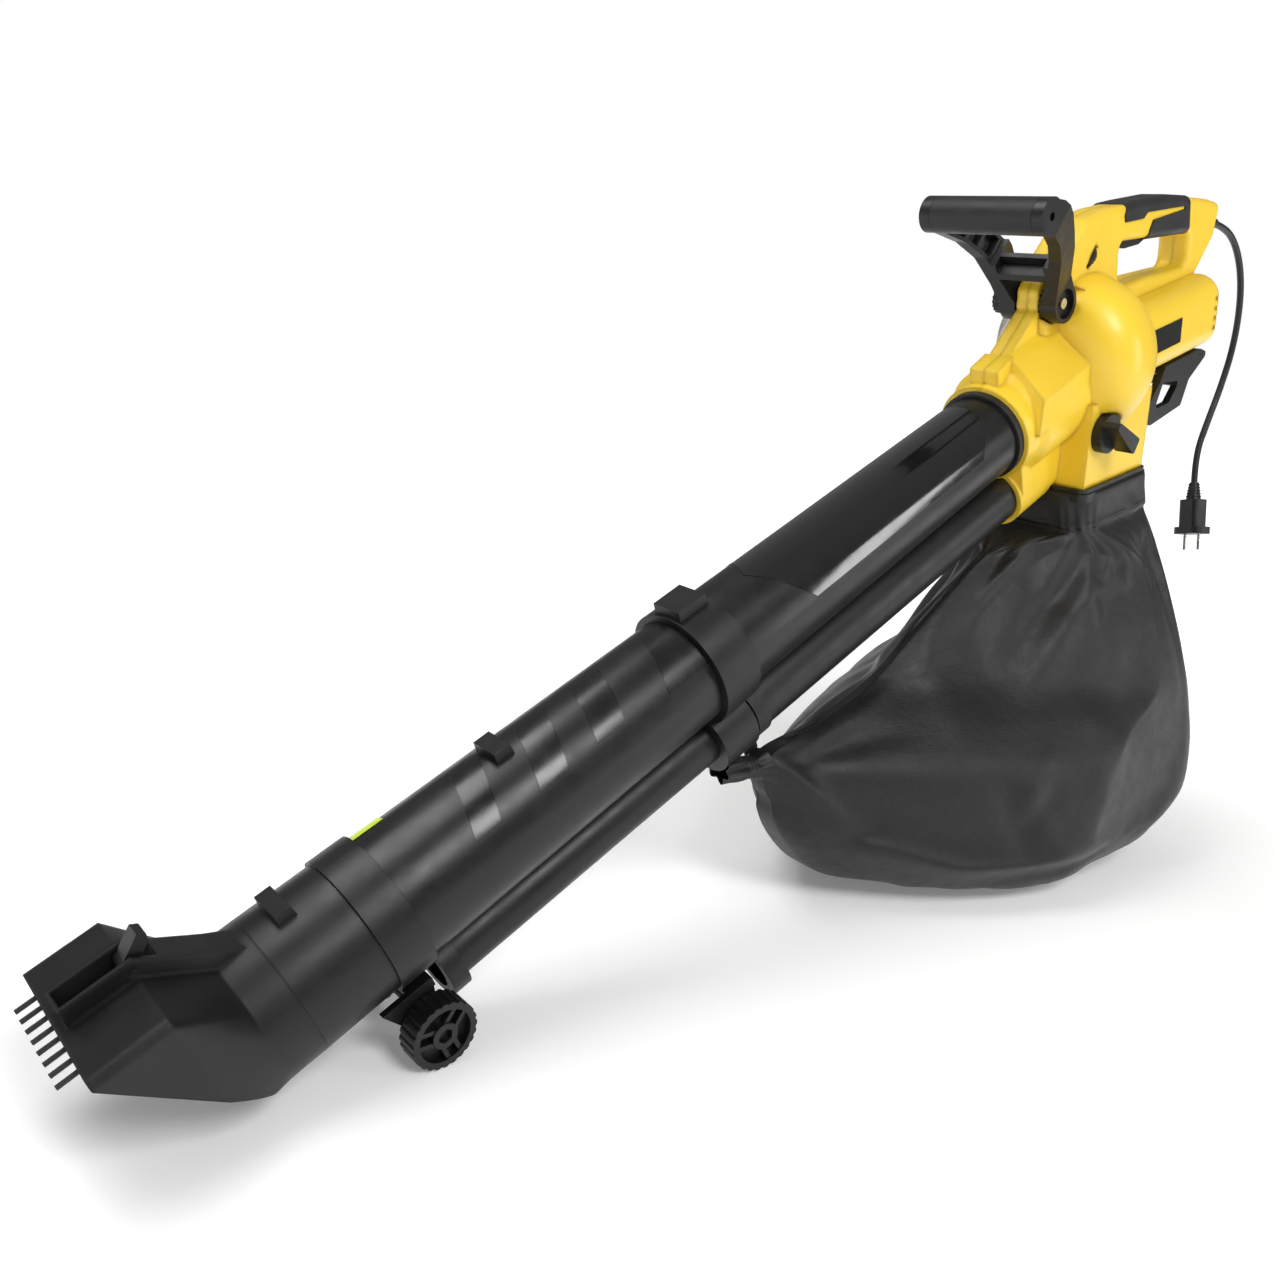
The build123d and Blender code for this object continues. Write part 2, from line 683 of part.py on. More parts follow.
def fan_shell(shrink, skin, split):
    """Fan case: a smooth dome to the right of the split, and a cone for the clear window to its left."""
    case = fan_case(shrink)
    left = case & front_cone(shrink + skin, -FAN_CASE_FRONT - 1, FAN_CASE_ROUND)
    right = case - BODY * block(-FAN_CASE_R, 0, -BIG, BIG, -BIG, BIG) + fairing(shrink)
    return (left & block(0, BIG, split, BIG, -BIG, BIG)) + (right & block(0, BIG, -BIG, split, -BIG, BIG))


def arm_room(grow):
    """Room beside the boss for the arms of the front handle, through their swing."""
    room = rod_y(BOSS_X, BOSS_Z, ARM_SWEEP + grow, BOSS_HALF - grow, ARM_PIVOT_HALF + ARM_CLEAR)
    room &= block(0, BIG, 0, BIG, BOSS_Z - grow, BIG)
    room += rod_y(BOSS_X, BOSS_Z, ARM_R + ARM_CLEAR + grow, BOSS_HALF - grow, FAN_CASE_R)
    return room + mirror(room, Plane.XZ)


def outlet_block(shrink, drop):
    """Box of the outlet to the bag."""
    half_x, half_y = OUTLET_HALF_X - shrink, OUTLET_HALF_Y - shrink
    return OUTLET * block(-half_x, half_x, -half_y, half_y, -drop, OUTLET_RISE - shrink)


snout_x = TUBE_LENGTH - 2
snout = turned(
    [
        (snout_x, 0),
        (snout_x, SNOUT_LIP_R),
        (snout_x + SNOUT_STEP - 8, SNOUT_LIP_R + 1),
        (snout_x + SNOUT_STEP, SNOUT_R),
        (FAN_X - FAN_CASE_FRONT + 4, SNOUT_R + 1),
        (FAN_X - FAN_CASE_FRONT + 4, 0),
    ]
)
blow_socket_r = BLOW_UPPER_R + BLOW_SOCKET_WALL
socket = rod_x(TUBE_LENGTH + 4, FAN_X - FAN_CASE_FRONT, blow_socket_r, 0, -BLOW_DROP)
socket += block(TUBE_LENGTH + 8, FAN_X - FAN_CASE_FRONT, -blow_socket_r, blow_socket_r, -BLOW_DROP, 0)
lip_edge = OUTLET_HALF_X + FLANGE_EDGE + FRAME_EDGE + 1
socket -= OUTLET * block(-lip_edge, lip_edge, -BIG, BIG, -BIG, 0)
hump_start = TUBE_LENGTH + 6
hump_end = hump_start + HUMP_LENGTH
hump_top = SNOUT_R + HUMP_RISE
hump_side = [(hump_start - 2, 0), (hump_start, hump_top), (hump_end, hump_top + 3), (hump_end + 8, 0)]
hump = slab(hump_side, -HUMP_HALF, HUMP_HALF, 2)
web_side = [
    (hump_start + 2, 0),
    (hump_end - 4, hump_top + 1),
    (BOSS_X - BOSS_R + 2, BOSS_Z),
    (FAN_X, BOSS_Z),
    (FAN_X, 0),
]
web = slab(web_side, -BOSS_HALF, BOSS_HALF, 2)
flank_edge = [(0, 0), (0, FLANK_TOP), (-BOSS_HALF, FLANK_TOP), (-FLANK_HALF, FLANK_LOW), (-FLANK_HALF, 0)]
flank = make_face(Polyline(*flank_edge, close=True))
flank = extrude(across(hump_start) * flank, amount=FAN_X - hump_start)
web += flank & slab(web_side, -FLANK_HALF, 0)
pocket = rod_y(FLAP_X, FLAP_Z, MODE_BASE_R + POCKET_CLEAR, -FAN_CASE_R - WALL, -OUTLET_HALF_Y)
boss = rod_y(BOSS_X, BOSS_Z, BOSS_R, -BOSS_HALF, BOSS_HALF)
casing = snout + socket + hump + web + motor_case(0, CASE_START, CASE_END) + outlet_block(0, 0)
casing += fan_shell(0, 0, 0)
casing -= pocket
arm_inner = BOSS_HALF + RATCHET_THICK + GAP
casing += grip(0, True)
casing -= arm_room(0)
casing += boss

inlet = tube_core(snout_x - 1, tube_end, FIT)
inlet += rod_x(tube_end - 1, FAN_X - FAN_CASE_FRONT + 4 * WALL, SNOUT_BORE_R)
blow_bore = rod_x(snout_x - 1, blow_end, BLOW_UPPER_R + FIT, 0, -BLOW_DROP)
blow_bore += rod_x(blow_end - 1, FAN_X - FAN_CASE_FRONT + 4 * WALL, BLOW_UPPER_R - BLOW_WALL, 0, -BLOW_DROP)
hollow = fan_shell(WALL, WINDOW_THICK, -WALL)
hollow += motor_case(WALL, CASE_START + WALL, CASE_END + 1) + outlet_block(WALL, 1)
pocket_wall_r = MODE_BASE_R + POCKET_CLEAR + WALL
hollow -= rod_y(FLAP_X, FLAP_Z, pocket_wall_r, -FAN_CASE_R, -OUTLET_HALF_Y + WALL)
hollow -= arm_room(WALL)
hollow += inlet + blow_bore
grip_inside = outline(near_fan(GRIP_OUTLINE), GRIP_CORNER) - outline(near_fan(GRIP_OPENING), GRIP_CORNER)
grip_inside = offset(grip_inside, amount=-WALL)
grip_hollow = extrude(Pos(0, GRIP_HALF - WALL, 0) * grip_inside, amount=2 * (GRIP_HALF - WALL))
grip_hollow -= boss + fan_shell(0, 0, 0) + motor_case(0, CASE_START, CASE_END) + arm_room(WALL)
shells = casing - hollow - grip_hollow
shells -= motor_case(0, CASE_END, CASE_END + GRILLE_BULGE + GAP)

screws = []
for x, z in near_fan(SCREW_PLACES):
    head_y = GRIP_HALF - SCREW_SINK
    shells += rod_y(x, z, SCREW_BOSS_R, SEAM - GRIP_HALF, GRIP_HALF - SEAM)
    shells -= rod_y(x, z, SCREW_R + FIT, -SCREW_REACH - GAP, GRIP_HALF + 1)
    shells -= rod_y(x, z, SCREW_HEAD_R + FIT, head_y, GRIP_HALF + 1)
    head = rod_y(x, z, SCREW_HEAD_R, head_y, head_y + SCREW_HEAD)
    screws.append(head + rod_y(x, z, SCREW_R, -SCREW_REACH, head_y))
shells -= rod_y(BOSS_X, BOSS_Z, PIVOT_BOLT_R + RUN, -BOSS_HALF - 1, BOSS_HALF + 1)
shells -= slab(near_fan(TRIGGER_SLOT), -TRIGGER_HALF - GAP, TRIGGER_HALF + GAP)
pin_half = GRIP_HALF - WALL / 2
shells -= rod_y(TRIGGER_X, TRIGGER_Z, TRIGGER_PIN_R + RUN, -pin_half - GAP, pin_half + GAP)
dial_chord = DIAL_R - 0.4
dial_room = DIAL_THICK / 2 + GAP
DIAL = Pos(DIAL_X, 0, DIAL_Z) * Rot(0, DIAL_TILT, 0)
shells -= DIAL * block(-dial_room, dial_room, -GRIP_HALF - 1, DIAL_Y - DIAL_R / 3, -dial_chord, dial_chord)
shells -= rod_y(FLAP_X, FLAP_Z, FLAP_SHAFT_R + RUN, -OUTLET_HALF_Y - 1, OUTLET_HALF_Y + 1)
RELIEF = Pos(RELIEF_X, 0, RELIEF_Z) * Rot(0, TILT, 0)
shells -= RELIEF * rod_x(0, RELIEF_LENGTH, RELIEF_NECK_R + FIT)
louvre_zs = [(i - (LOUVRE_COUNT - 1) / 2) * LOUVRE_PITCH for i in range(LOUVRE_COUNT)]
for z in louvre_zs[1:-1]:
    low, high = z - LOUVRE_HEIGHT / 2, z + LOUVRE_HEIGHT / 2
    shells -= BODY * block(CASE_END - LOUVRE_LENGTH, CASE_END + 1, -CASE_WIDTH, CASE_WIDTH, low, high)


def window_blank(grow, room):
    """Conical skin for the clear window, with room around its edges."""
    front, back = -FAN_CASE_FRONT - room, WINDOW_END + room
    skin = front_cone(-grow, front, back) - front_cone(WINDOW_THICK + room, front - 1, back + 1)
    skin -= rod_x(0, FAN_X, SNOUT_R + 1 + GAP)
    return skin & block(0, BIG, blow_socket_r + 1 - room, BIG, port_low - PORT_EDGE - room, BIG)


port_low = OUTLET_Z + OUTLET_RISE + PORT_ABOVE
port_y = blow_socket_r + 1 + PORT_EDGE
port = front_cone(0, PORT_EDGE - FAN_CASE_FRONT, WINDOW_END - PORT_EDGE)
port -= front_cone(2 * WINDOW_THICK + WALL, -FAN_CASE_FRONT, WINDOW_END)
shells -= window_blank(WINDOW_THICK, SEAM) + (port & block(0, BIG, port_y, BIG, port_low, BIG))
nodes["housing_left"] = shells & block(0, BIG, SEAM, BIG, -BIG, BIG)
nodes["housing_right"] = shells & block(0, BIG, -BIG, -SEAM, -BIG, BIG)
nodes["housing_screws"] = Compound(screws)

nodes["clear_window"] = window_blank(0, 0)
seal_end = snout_x
seal = cone_ring(seal_end - SEAL_LENGTH, seal_end, FIT, SEAL_RISE)
nodes["tube_seal"] = seal - rod_x(0, FAN_X, BLOW_UPPER_R + GAP, 0, -BLOW_DROP)

grille_outer = RectangleRounded(CASE_WIDTH - 1, CASE_HEIGHT - 1, CASE_CORNER - 0.5)
drafted = RectangleRounded(
    CASE_WIDTH - 2 * GRILLE_DRAFT, CASE_HEIGHT - 2 * GRILLE_DRAFT, CASE_CORNER - GRILLE_DRAFT
)
cap_start = CASE_END + SEAM
cap = loft([across(cap_start) * grille_outer, across(cap_start + GRILLE_BULGE) * drafted])
plug_section = RectangleRounded(
    CASE_WIDTH - 2 * WALL - 2 * FIT, CASE_HEIGHT - 2 * WALL - 2 * FIT, CASE_CORNER - WALL - FIT
)
plug_in = extrude(across(CASE_END - GRILLE_DEPTH) * plug_section, amount=GRILLE_DEPTH + 1)
bore_section = RectangleRounded(CASE_WIDTH - 4 * WALL, CASE_HEIGHT - 4 * WALL, CASE_CORNER - 2 * WALL)
core_depth = GRILLE_DEPTH + 1 + GRILLE_BULGE - WALL
core = extrude(across(CASE_END - GRILLE_DEPTH - 1) * bore_section, amount=core_depth)
grille = cap + plug_in - core
slot_end = CASE_WIDTH / 2 - 3 * WALL
for z in louvre_zs:
    half = LOUVRE_HEIGHT / 2
    slot = block(CASE_END, CASE_END + 2 * GRILLE_BULGE, WALL, slot_end, z - half, z + half)
    grille -= slot + mirror(slot, Plane.XZ)
nodes["rear_grille"] = BODY * grille

plate_y = -CASE_WIDTH / 2 - SEAM
nodes["rating_plate"] = BODY * block(
    PLATE_CENTRE - PLATE_LENGTH / 2,
    PLATE_CENTRE + PLATE_LENGTH / 2,
    plate_y - PLATE_DEPTH,
    plate_y,
    -PLATE_HEIGHT / 2,
    PLATE_HEIGHT / 2,
)

# Fan and motor
dome_r = FAN_CASE_ROUND - WALL


def dome_inside(x):
    """Inside radius of the domed fan case behind its cylinder."""
    return FAN_CASE_R - FAN_CASE_ROUND + sqrt(dome_r**2 - (x - FAN_CASE_FLAT) ** 2)


plate_end = PLATE_X + PLATE_THICK
plate = turned(
    [
        (PLATE_X, 0),
        (PLATE_X, dome_inside(PLATE_X) - GAP),
        (plate_end, dome_inside(plate_end) - GAP),
        (plate_end, 0),
    ]
)
bearing_x0 = plate_end - BEARING_WIDTH
plate += rod_x(bearing_x0, plate_end + 2, BEARING_R + 4)
plate -= rod_x(bearing_x0 - 1, plate_end, BEARING_R + FIT)
plate -= rod_x(bearing_x0, plate_end + 3, BEARING_R - 3)
for i in range(6):
    plate -= Rot(60 * i, 0, 0) * rod_x(PLATE_X - 1, plate_end + 1, 8, 0, STATOR_BORE_R + 8)
nodes["motor_plate"] = BODY * plate


def bearing(x0):
    """Ball bearing drawn as a closed ring with a groove on each face."""
    ring = rod_x(x0, x0 + BEARING_WIDTH, BEARING_R) - rod_x(x0 - 1, x0 + BEARING_WIDTH + 1, SHAFT_R + RUN)
    groove = rod_x(0, 0.8, BEARING_R - 2.5) - rod_x(-1, 2, SHAFT_R + 2.5)
    return ring - Pos(x0, 0, 0) * groove - Pos(x0 + BEARING_WIDTH - 0.8, 0, 0) * groove


nodes["front_bearing"] = BODY * bearing(bearing_x0)
rear_bearing_x = BRACKET_FRONT + BRACKET_THICK - BEARING_WIDTH - 1
nodes["rear_bearing"] = BODY * bearing(rear_bearing_x)
frame_section = RectangleRounded(
    CASE_WIDTH - 2 * WALL - 2 * GAP, CASE_HEIGHT - 2 * WALL - 2 * GAP, CASE_CORNER - WALL - GAP
)
bracket = extrude(across(BRACKET_FRONT) * frame_section, amount=BRACKET_THICK)
bracket -= rod_x(rear_bearing_x, BRACKET_FRONT + BRACKET_THICK + 1, BEARING_R + FIT)
bracket -= rod_x(BRACKET_FRONT - 1, rear_bearing_x + 1, BEARING_R - 3)
for side in (-1, 1):
    vent = block(BRACKET_FRONT - 1, BRACKET_FRONT + BRACKET_THICK + 1, 20, 34, -18, 18)
    bracket -= vent if side > 0 else mirror(vent, Plane.XZ)
nodes["motor_bracket"] = BODY * bracket
stack = extrude(across(STATOR_FRONT) * frame_section, amount=STATOR_LENGTH)
stack -= rod_x(STATOR_FRONT - 1, STATOR_FRONT + STATOR_LENGTH + 1, STATOR_BORE_R)
nodes["stator"] = BODY * stack
arm_front, arm_back = STATOR_FRONT + 3, STATOR_FRONT + STATOR_LENGTH - 3
armature = rod_x(arm_front, arm_back, ARMATURE_R)
for i in range(12):
    groove = block(arm_front - 1, arm_back + 1, -1.4, 1.4, ARMATURE_R - 6, ARMATURE_R + 1)
    armature -= Rot(30 * i, 0, 0) * groove
armature -= rod_x(arm_front - 1, arm_back + 1, SHAFT_R + RUN)
nodes["armature"] = BODY * armature
comm_front = STATOR_FRONT + STATOR_LENGTH + 2
comm_back = BRACKET_FRONT - 2
commutator = rod_x(comm_front, comm_back, COMMUTATOR_R) - rod_x(comm_front - 1, comm_back + 1, SHAFT_R + RUN)
nodes["commutator"] = BODY * commutator
shaft = rod_x(SHAFT_FRONT, SHAFT_BACK, SHAFT_R)
nodes["motor_shaft"] = BODY * shaft
brush = block(comm_front + 2, BRACKET_FRONT - SEAM, -5, 5, COMMUTATOR_R + 0.4, COMMUTATOR_R + 14)
nodes["brush_holders"] = BODY * Compound([brush, mirror(brush, Plane.XY)])

impeller = rod_x(IMPELLER_FRONT, IMPELLER_BACK, IMPELLER_HUB_R)
impeller += rod_x(IMPELLER_BACK - IMPELLER_PLATE, IMPELLER_BACK, IMPELLER_R)
blade = block(IMPELLER_FRONT, IMPELLER_BACK - 1, -BLADE_THICK / 2, BLADE_THICK / 2, 0, BLADE_SPAN)
blade = Pos(0, 0, IMPELLER_HUB_R - 1.5) * Rot(BLADE_LEAN, 0, 0) * blade
for i in range(BLADE_COUNT):
    impeller += Rot(360 * i / BLADE_COUNT, 0, 0) * blade
impeller -= rod_x(IMPELLER_FRONT - 1, IMPELLER_BACK + 1, SHAFT_R + RUN)
nodes["impeller"] = BODY * impeller
nut = extrude(across(SHAFT_FRONT) * RegularPolygon(9, 6), amount=IMPELLER_FRONT - SHAFT_FRONT - SEAM)
nodes["fan_nut"] = BODY * (nut - rod_x(SHAFT_FRONT - 1, IMPELLER_FRONT, SHAFT_R + RUN))

# Rear handle: soft skin, trigger, switch and speed dial
skin = grip(GRIP_SKIN, True) & slab(near_fan(GRIP_SKIN_AREA), -2 * GRIP_HALF, 2 * GRIP_HALF)
skin -= slab(near_fan(TRIGGER_SLOT), -TRIGGER_HALF - GAP, TRIGGER_HALF + GAP)
nodes["soft_grip"] = skin - grip(SEAM, True)
trigger = slab(near_fan(TRIGGER_OUTLINE), -TRIGGER_HALF, TRIGGER_HALF, 2)
trigger += rod_y(TRIGGER_X, TRIGGER_Z, TRIGGER_PIN_R, -pin_half, pin_half)
nodes["trigger"] = trigger
inside_half = GRIP_HALF - WALL - FIT
switch = Box(SWITCH_LENGTH, 2 * inside_half, SWITCH_HEIGHT)
nodes["power_switch"] = Pos(SWITCH_X, 0, SWITCH_Z) * Rot(0, SWITCH_TILT, 0) * switch
dial = rod_x(-DIAL_THICK / 2, DIAL_THICK / 2, DIAL_R)
for i in range(24):
    dial -= Rot(15 * i, 0, 0) * rod_x(-DIAL_THICK, DIAL_THICK, 0.9, 0, DIAL_R + 0.3)
board_front = DIAL_THICK / 2 + 2
dial += rod_x(0, board_front + BOARD_THICK + 2, SCREW_R)
nodes["speed_dial"] = DIAL * Pos(0, DIAL_Y, 0) * dial
board = block(board_front, board_front + BOARD_THICK, -inside_half, inside_half, -BOARD_LOW, BOARD_HIGH)
nodes["speed_board"] = DIAL * (board - rod_x(0, board_front + BOARD_THICK + 1, SCREW_R + RUN, DIAL_Y))

# Front handle: a frame that swings on the pivot bolt and is held by the clamp knob
bar_reach = sqrt((BAR_X - BOSS_X) ** 2 + (BAR_Z - BOSS_Z) ** 2)
lean_x, lean_z = (BAR_X - BOSS_X) / bar_reach, (BAR_Z - BOSS_Z) / bar_reach
arm_plane = Plane(origin=(BOSS_X, 0, BOSS_Z), x_dir=(0, 1, 0), z_dir=(lean_z, 0, -lean_x))
bar_half = BAR_LENGTH / 2
flare_start = KNOB_R + 1
flare_stop = bar_reach - BAR_SLEEVE_R


def arm_outer(along):
    """Half width of the handle frame at a distance from the pivot."""
    share = (along - flare_start) / (flare_stop - flare_start)
    return ARM_PIVOT_HALF + (bar_half - ARM_PIVOT_HALF) * min(max(share, 0), 1)


def symmetric(right):
    """Closed face in the plane of the arms from the points of its right half."""
    left = [(-y, along) for y, along in reversed(right)]
    return arm_plane * make_face(Polyline(*right, *left, close=True))


cross_low, cross_high = CROSSBAR_AT - CROSSBAR_HEIGHT / 2, CROSSBAR_AT + CROSSBAR_HEIGHT / 2
frame_top = bar_reach + BAR_SLEEVE_R + 1
front_view = symmetric(
    [
        (ARM_PIVOT_HALF, -ARM_R - 1),
        (ARM_PIVOT_HALF, flare_start),
        (bar_half, flare_stop),
        (bar_half, frame_top),
    ]
)
fork_gap = symmetric(
    [
        (arm_inner, -ARM_R - 2),
        (arm_inner, flare_start),
        (arm_outer(cross_low) - ARM_THICK, cross_low),
    ]
)
window_view = symmetric(
    [
        (arm_outer(cross_high) - ARM_THICK, cross_high),
        (bar_half - ARM_THICK + 2, flare_stop + 2),
    ]
)
front_view = front_view - fork_gap - window_view
arm_side = [(BOSS_X + x, BOSS_Z + z) for x, z in ARM_SIDE]
side_view = slab(arm_side, -bar_half, bar_half, ARM_CORNER)
side_view += rod_y(BOSS_X, BOSS_Z, ARM_R, -bar_half, bar_half)
side_view += rod_y(BAR_X, BAR_Z, BAR_SLEEVE_R, -bar_half, bar_half)
sleeve_half = bar_half - ARM_THICK + 2
frame = side_view & extrude(front_view, amount=bar_reach, both=True)
frame -= arm_plane * Pos(0, cross_low, CROSSBAR_DEPTH + bar_reach / 2) * Box(
    2 * (arm_outer(cross_low) - ARM_THICK), 4 * CROSSBAR_HEIGHT, bar_reach
)
trough_half = arm_outer(cross_low) - ARM_THICK
frame -= arm_plane * Pos(0, cross_high, TROUGH_AT) * Box(2 * trough_half, 2 * TROUGH_DEPTH, TROUGH_WIDTH)
channel_low, channel_high = cross_high + 4, flare_stop - 6
channel_view = Polyline(
    (arm_outer(channel_low) - ARM_THICK - 1, channel_low),
    (arm_outer(channel_low) - ARM_SKIN, channel_low),
    (arm_outer(channel_high) - ARM_SKIN, channel_high),
    (arm_outer(channel_high) - ARM_THICK - 1, channel_high),
    close=True,
)
channel = extrude(arm_plane * make_face(channel_view), amount=bar_reach, both=True)
arm_core = offset(outline(arm_side, ARM_CORNER), amount=-ARM_SKIN)
channel &= extrude(Pos(0, bar_half, 0) * arm_core, amount=2 * bar_half)
for share in (1 / 3, 2 / 3):
    rib_at = channel_low + (channel_high - channel_low) * share
    channel -= arm_plane * Pos(0, rib_at, 0) * Box(2 * bar_half, ARM_RIB, 2 * bar_reach)
frame -= channel
frame -= mirror(channel, Plane.XZ)
frame -= rod_y(BAR_X, BAR_Z, BAR_SLEEVE_R + GAP, -sleeve_half, sleeve_half)
frame += rod_y(BAR_X, BAR_Z, BAR_R, -bar_half + 1, bar_half - 1)
frame -= rod_y(BOSS_X, BOSS_Z, PIVOT_BOLT_R + RUN, -bar_half, bar_half)
recess_y = PIVOT_RECESS - ARM_PIVOT_HALF
frame -= rod_y(BOSS_X, BOSS_Z, PIVOT_RECESS_R, -bar_half, recess_y)
frame -= rod_y(BAR_X, BAR_Z, CORD_R, -bar_half - 1, -bar_half + 8)
nodes["front_handle"] = frame
sleeve = rod_y(BAR_X, BAR_Z, BAR_SLEEVE_R, GAP - sleeve_half, sleeve_half - GAP)
nodes["bar_sleeve"] = sleeve - rod_y(BAR_X, BAR_Z, BAR_R + FIT, -bar_half, bar_half)
washer = rod_y(BOSS_X, BOSS_Z, RATCHET_R, BOSS_HALF + SEAM, BOSS_HALF + RATCHET_THICK)
washer -= rod_y(BOSS_X, BOSS_Z, PIVOT_BOLT_R + FIT, 0, bar_half)
for i in range(RATCHET_TEETH):
    notch = block(RATCHET_R - 2, RATCHET_R + 1, BOSS_HALF, bar_half, -1.2, 1.2)
    washer -= Pos(BOSS_X, 0, BOSS_Z) * Rot(0, 360 * i / RATCHET_TEETH, 0) * notch
nodes["ratchet_washers"] = Compound([washer, mirror(washer, Plane.XZ)])
knob_y0 = ARM_PIVOT_HALF + GAP
knob_y1 = knob_y0 + KNOB_LENGTH
bolt = rod_y(BOSS_X, BOSS_Z, PIVOT_BOLT_R, recess_y - SEAM, knob_y1 - 2)
bolt += rod_y(BOSS_X, BOSS_Z, PIVOT_HEAD_R, recess_y - SEAM - PIVOT_HEAD, recess_y - SEAM)
nodes["pivot_bolt"] = bolt
knob = rod_y(BOSS_X, BOSS_Z, KNOB_R, knob_y0, knob_y1)
for i in range(KNOB_RIBS):
    rib_cut = rod_y(KNOB_R + 0.6, 0, 1.5, knob_y0 - 1, knob_y1 + 1)
    knob -= Pos(BOSS_X, 0, BOSS_Z) * Rot(0, 360 * i / KNOB_RIBS, 0) * rib_cut
nodes["clamp_knob"] = knob - rod_y(BOSS_X, BOSS_Z, PIVOT_BOLT_R + RUN, 0, knob_y1 - 2 + GAP)

# Changeover flap on its shaft, with the lever outside
flap_half = OUTLET_HALF_Y - WALL - 2
flap = rod_y(FLAP_X, FLAP_Z, FLAP_SHAFT_R, -OUTLET_HALF_Y - MODE_STAND - 4, OUTLET_HALF_Y - GAP)
leaf = block(-FLAP_THICK / 2, FLAP_THICK / 2, -flap_half, flap_half, -FLAP_LENGTH, 0)
flap += Pos(FLAP_X, 0, FLAP_Z) * Rot(0, OUTLET_TILT + FLAP_REST, 0) * leaf
nodes["changeover_flap"] = flap
mode_y = -OUTLET_HALF_Y - GAP
wing_y = mode_y - MODE_STAND
mode = rod_y(0, 0, MODE_BASE_R, wing_y, mode_y)
mode_half = MODE_LENGTH / 2
pointer = [(-mode_half, MODE_NOSE), (mode_half, MODE_TAIL), (mode_half, -MODE_TAIL), (-mode_half, -MODE_NOSE)]
mode += slab(pointer, wing_y - MODE_HEIGHT, wing_y, 2.5)
mode -= rod_y(0, 0, FLAP_SHAFT_R + RUN, -OUTLET_HALF_Y - MODE_STAND - 4 - GAP, mode_y + 1)
nodes["mode_lever"] = Pos(FLAP_X, 0, FLAP_Z) * Rot(0, MODE_SLOPE, 0) * mode


# Outlet flange and the frame that the bag hangs on
def outlet_ring(edge, z0, z1):
    """Rectangular ring under the outlet, wider than it by an edge."""
    half_x, half_y = OUTLET_HALF_X + edge, OUTLET_HALF_Y + edge
    plate = block(-half_x, half_x, -half_y, half_y, z0, z1)
    plate = fillet(plate.edges().filter_by(Axis.Z), FLANGE_CORNER)
    bore_x, bore_y = OUTLET_HALF_X - WALL, OUTLET_HALF_Y - WALL
    return OUTLET * (plate - block(-bore_x, bore_x, -bore_y, bore_y, z0 - 1, z1 + 1))


nodes["outlet_flange"] = outlet_ring(FLANGE_EDGE, -FLANGE_THICK, -SEAM)
frame_z = -FLANGE_THICK - SEAM
nodes["bag_frame"] = outlet_ring(FLANGE_EDGE + FRAME_EDGE, frame_z - FRAME_THICK, frame_z)

# Rear bracket under the motor casing, with a strap eye through both side plates
hook_z = -CASE_HEIGHT / 2 - SEAM


def under_case(points):
    """Points given from the underside of the motor casing, in the body's own axes."""
    return [(x, hook_z + z) for x, z in points]


hook = slab(under_case(HOOK_SIDE), -HOOK_HALF, HOOK_HALF, 4)
hook_in = HOOK_HALF - HOOK_PLATE
hook -= block(0, BIG / 4, -hook_in, hook_in, hook_z - 100, hook_z - HOOK_PLATE)
for x, z in under_case(HOOK_RODS):
    hook += rod_y(x, z, HOOK_ROD_R, -HOOK_HALF + 1, HOOK_HALF - 1)
hook -= slab(under_case(HOOK_EYE), -HOOK_HALF - 1, HOOK_HALF + 1, 4)
nodes["rear_bracket"] = BODY * hook

# Strain relief, which points level when the machine stands
relief = turned(
    [
        (0, 0),
        (0, RELIEF_R - 1),
        (RELIEF_SEAT - WALL - 1.2, RELIEF_R - 1),
        (RELIEF_SEAT - WALL - 1.2, RELIEF_NECK_R),
        (RELIEF_SEAT, RELIEF_NECK_R),
        (RELIEF_SEAT, RELIEF_R),
        (RELIEF_LENGTH, RELIEF_TIP_R),
        (RELIEF_LENGTH, 0),
    ]
)
nodes["strain_relief"] = RELIEF * relief

# Strap from the blow tube to the tail of the bag
strap_r = BLOW_UPPER_R + GAP
strap = rod_x(STRAP_X - STRAP_WIDTH / 2, STRAP_X + STRAP_WIDTH / 2, strap_r + STRAP_THICK, 0, -BLOW_DROP)
strap -= rod_x(STRAP_X - STRAP_WIDTH, STRAP_X + STRAP_WIDTH, strap_r, 0, -BLOW_DROP)
strap_low = -BLOW_DROP - strap_r
strap += block(
    STRAP_X - STRAP_WIDTH / 2,
    STRAP_X + STRAP_WIDTH / 2,
    -STRAP_THICK / 2,
    STRAP_THICK / 2,
    strap_low - STRAP_DROP,
    strap_low - STRAP_THICK / 2,
)
nodes["bag_strap"] = strap - tube_core(STRAP_X - STRAP_WIDTH, STRAP_X + STRAP_WIDTH, GAP)

# Standing machine: tipped back until the wheels and the bag rest on the floor
turn = radians(TILT)
lift = WHEEL_R - (WHEEL_X * sin(turn) + WHEEL_Z * cos(turn))
STANCE = Pos(0, 0, lift) * Rot(0, -TILT, 0)
placed = {name: STANCE * solid for name, solid in nodes.items()}


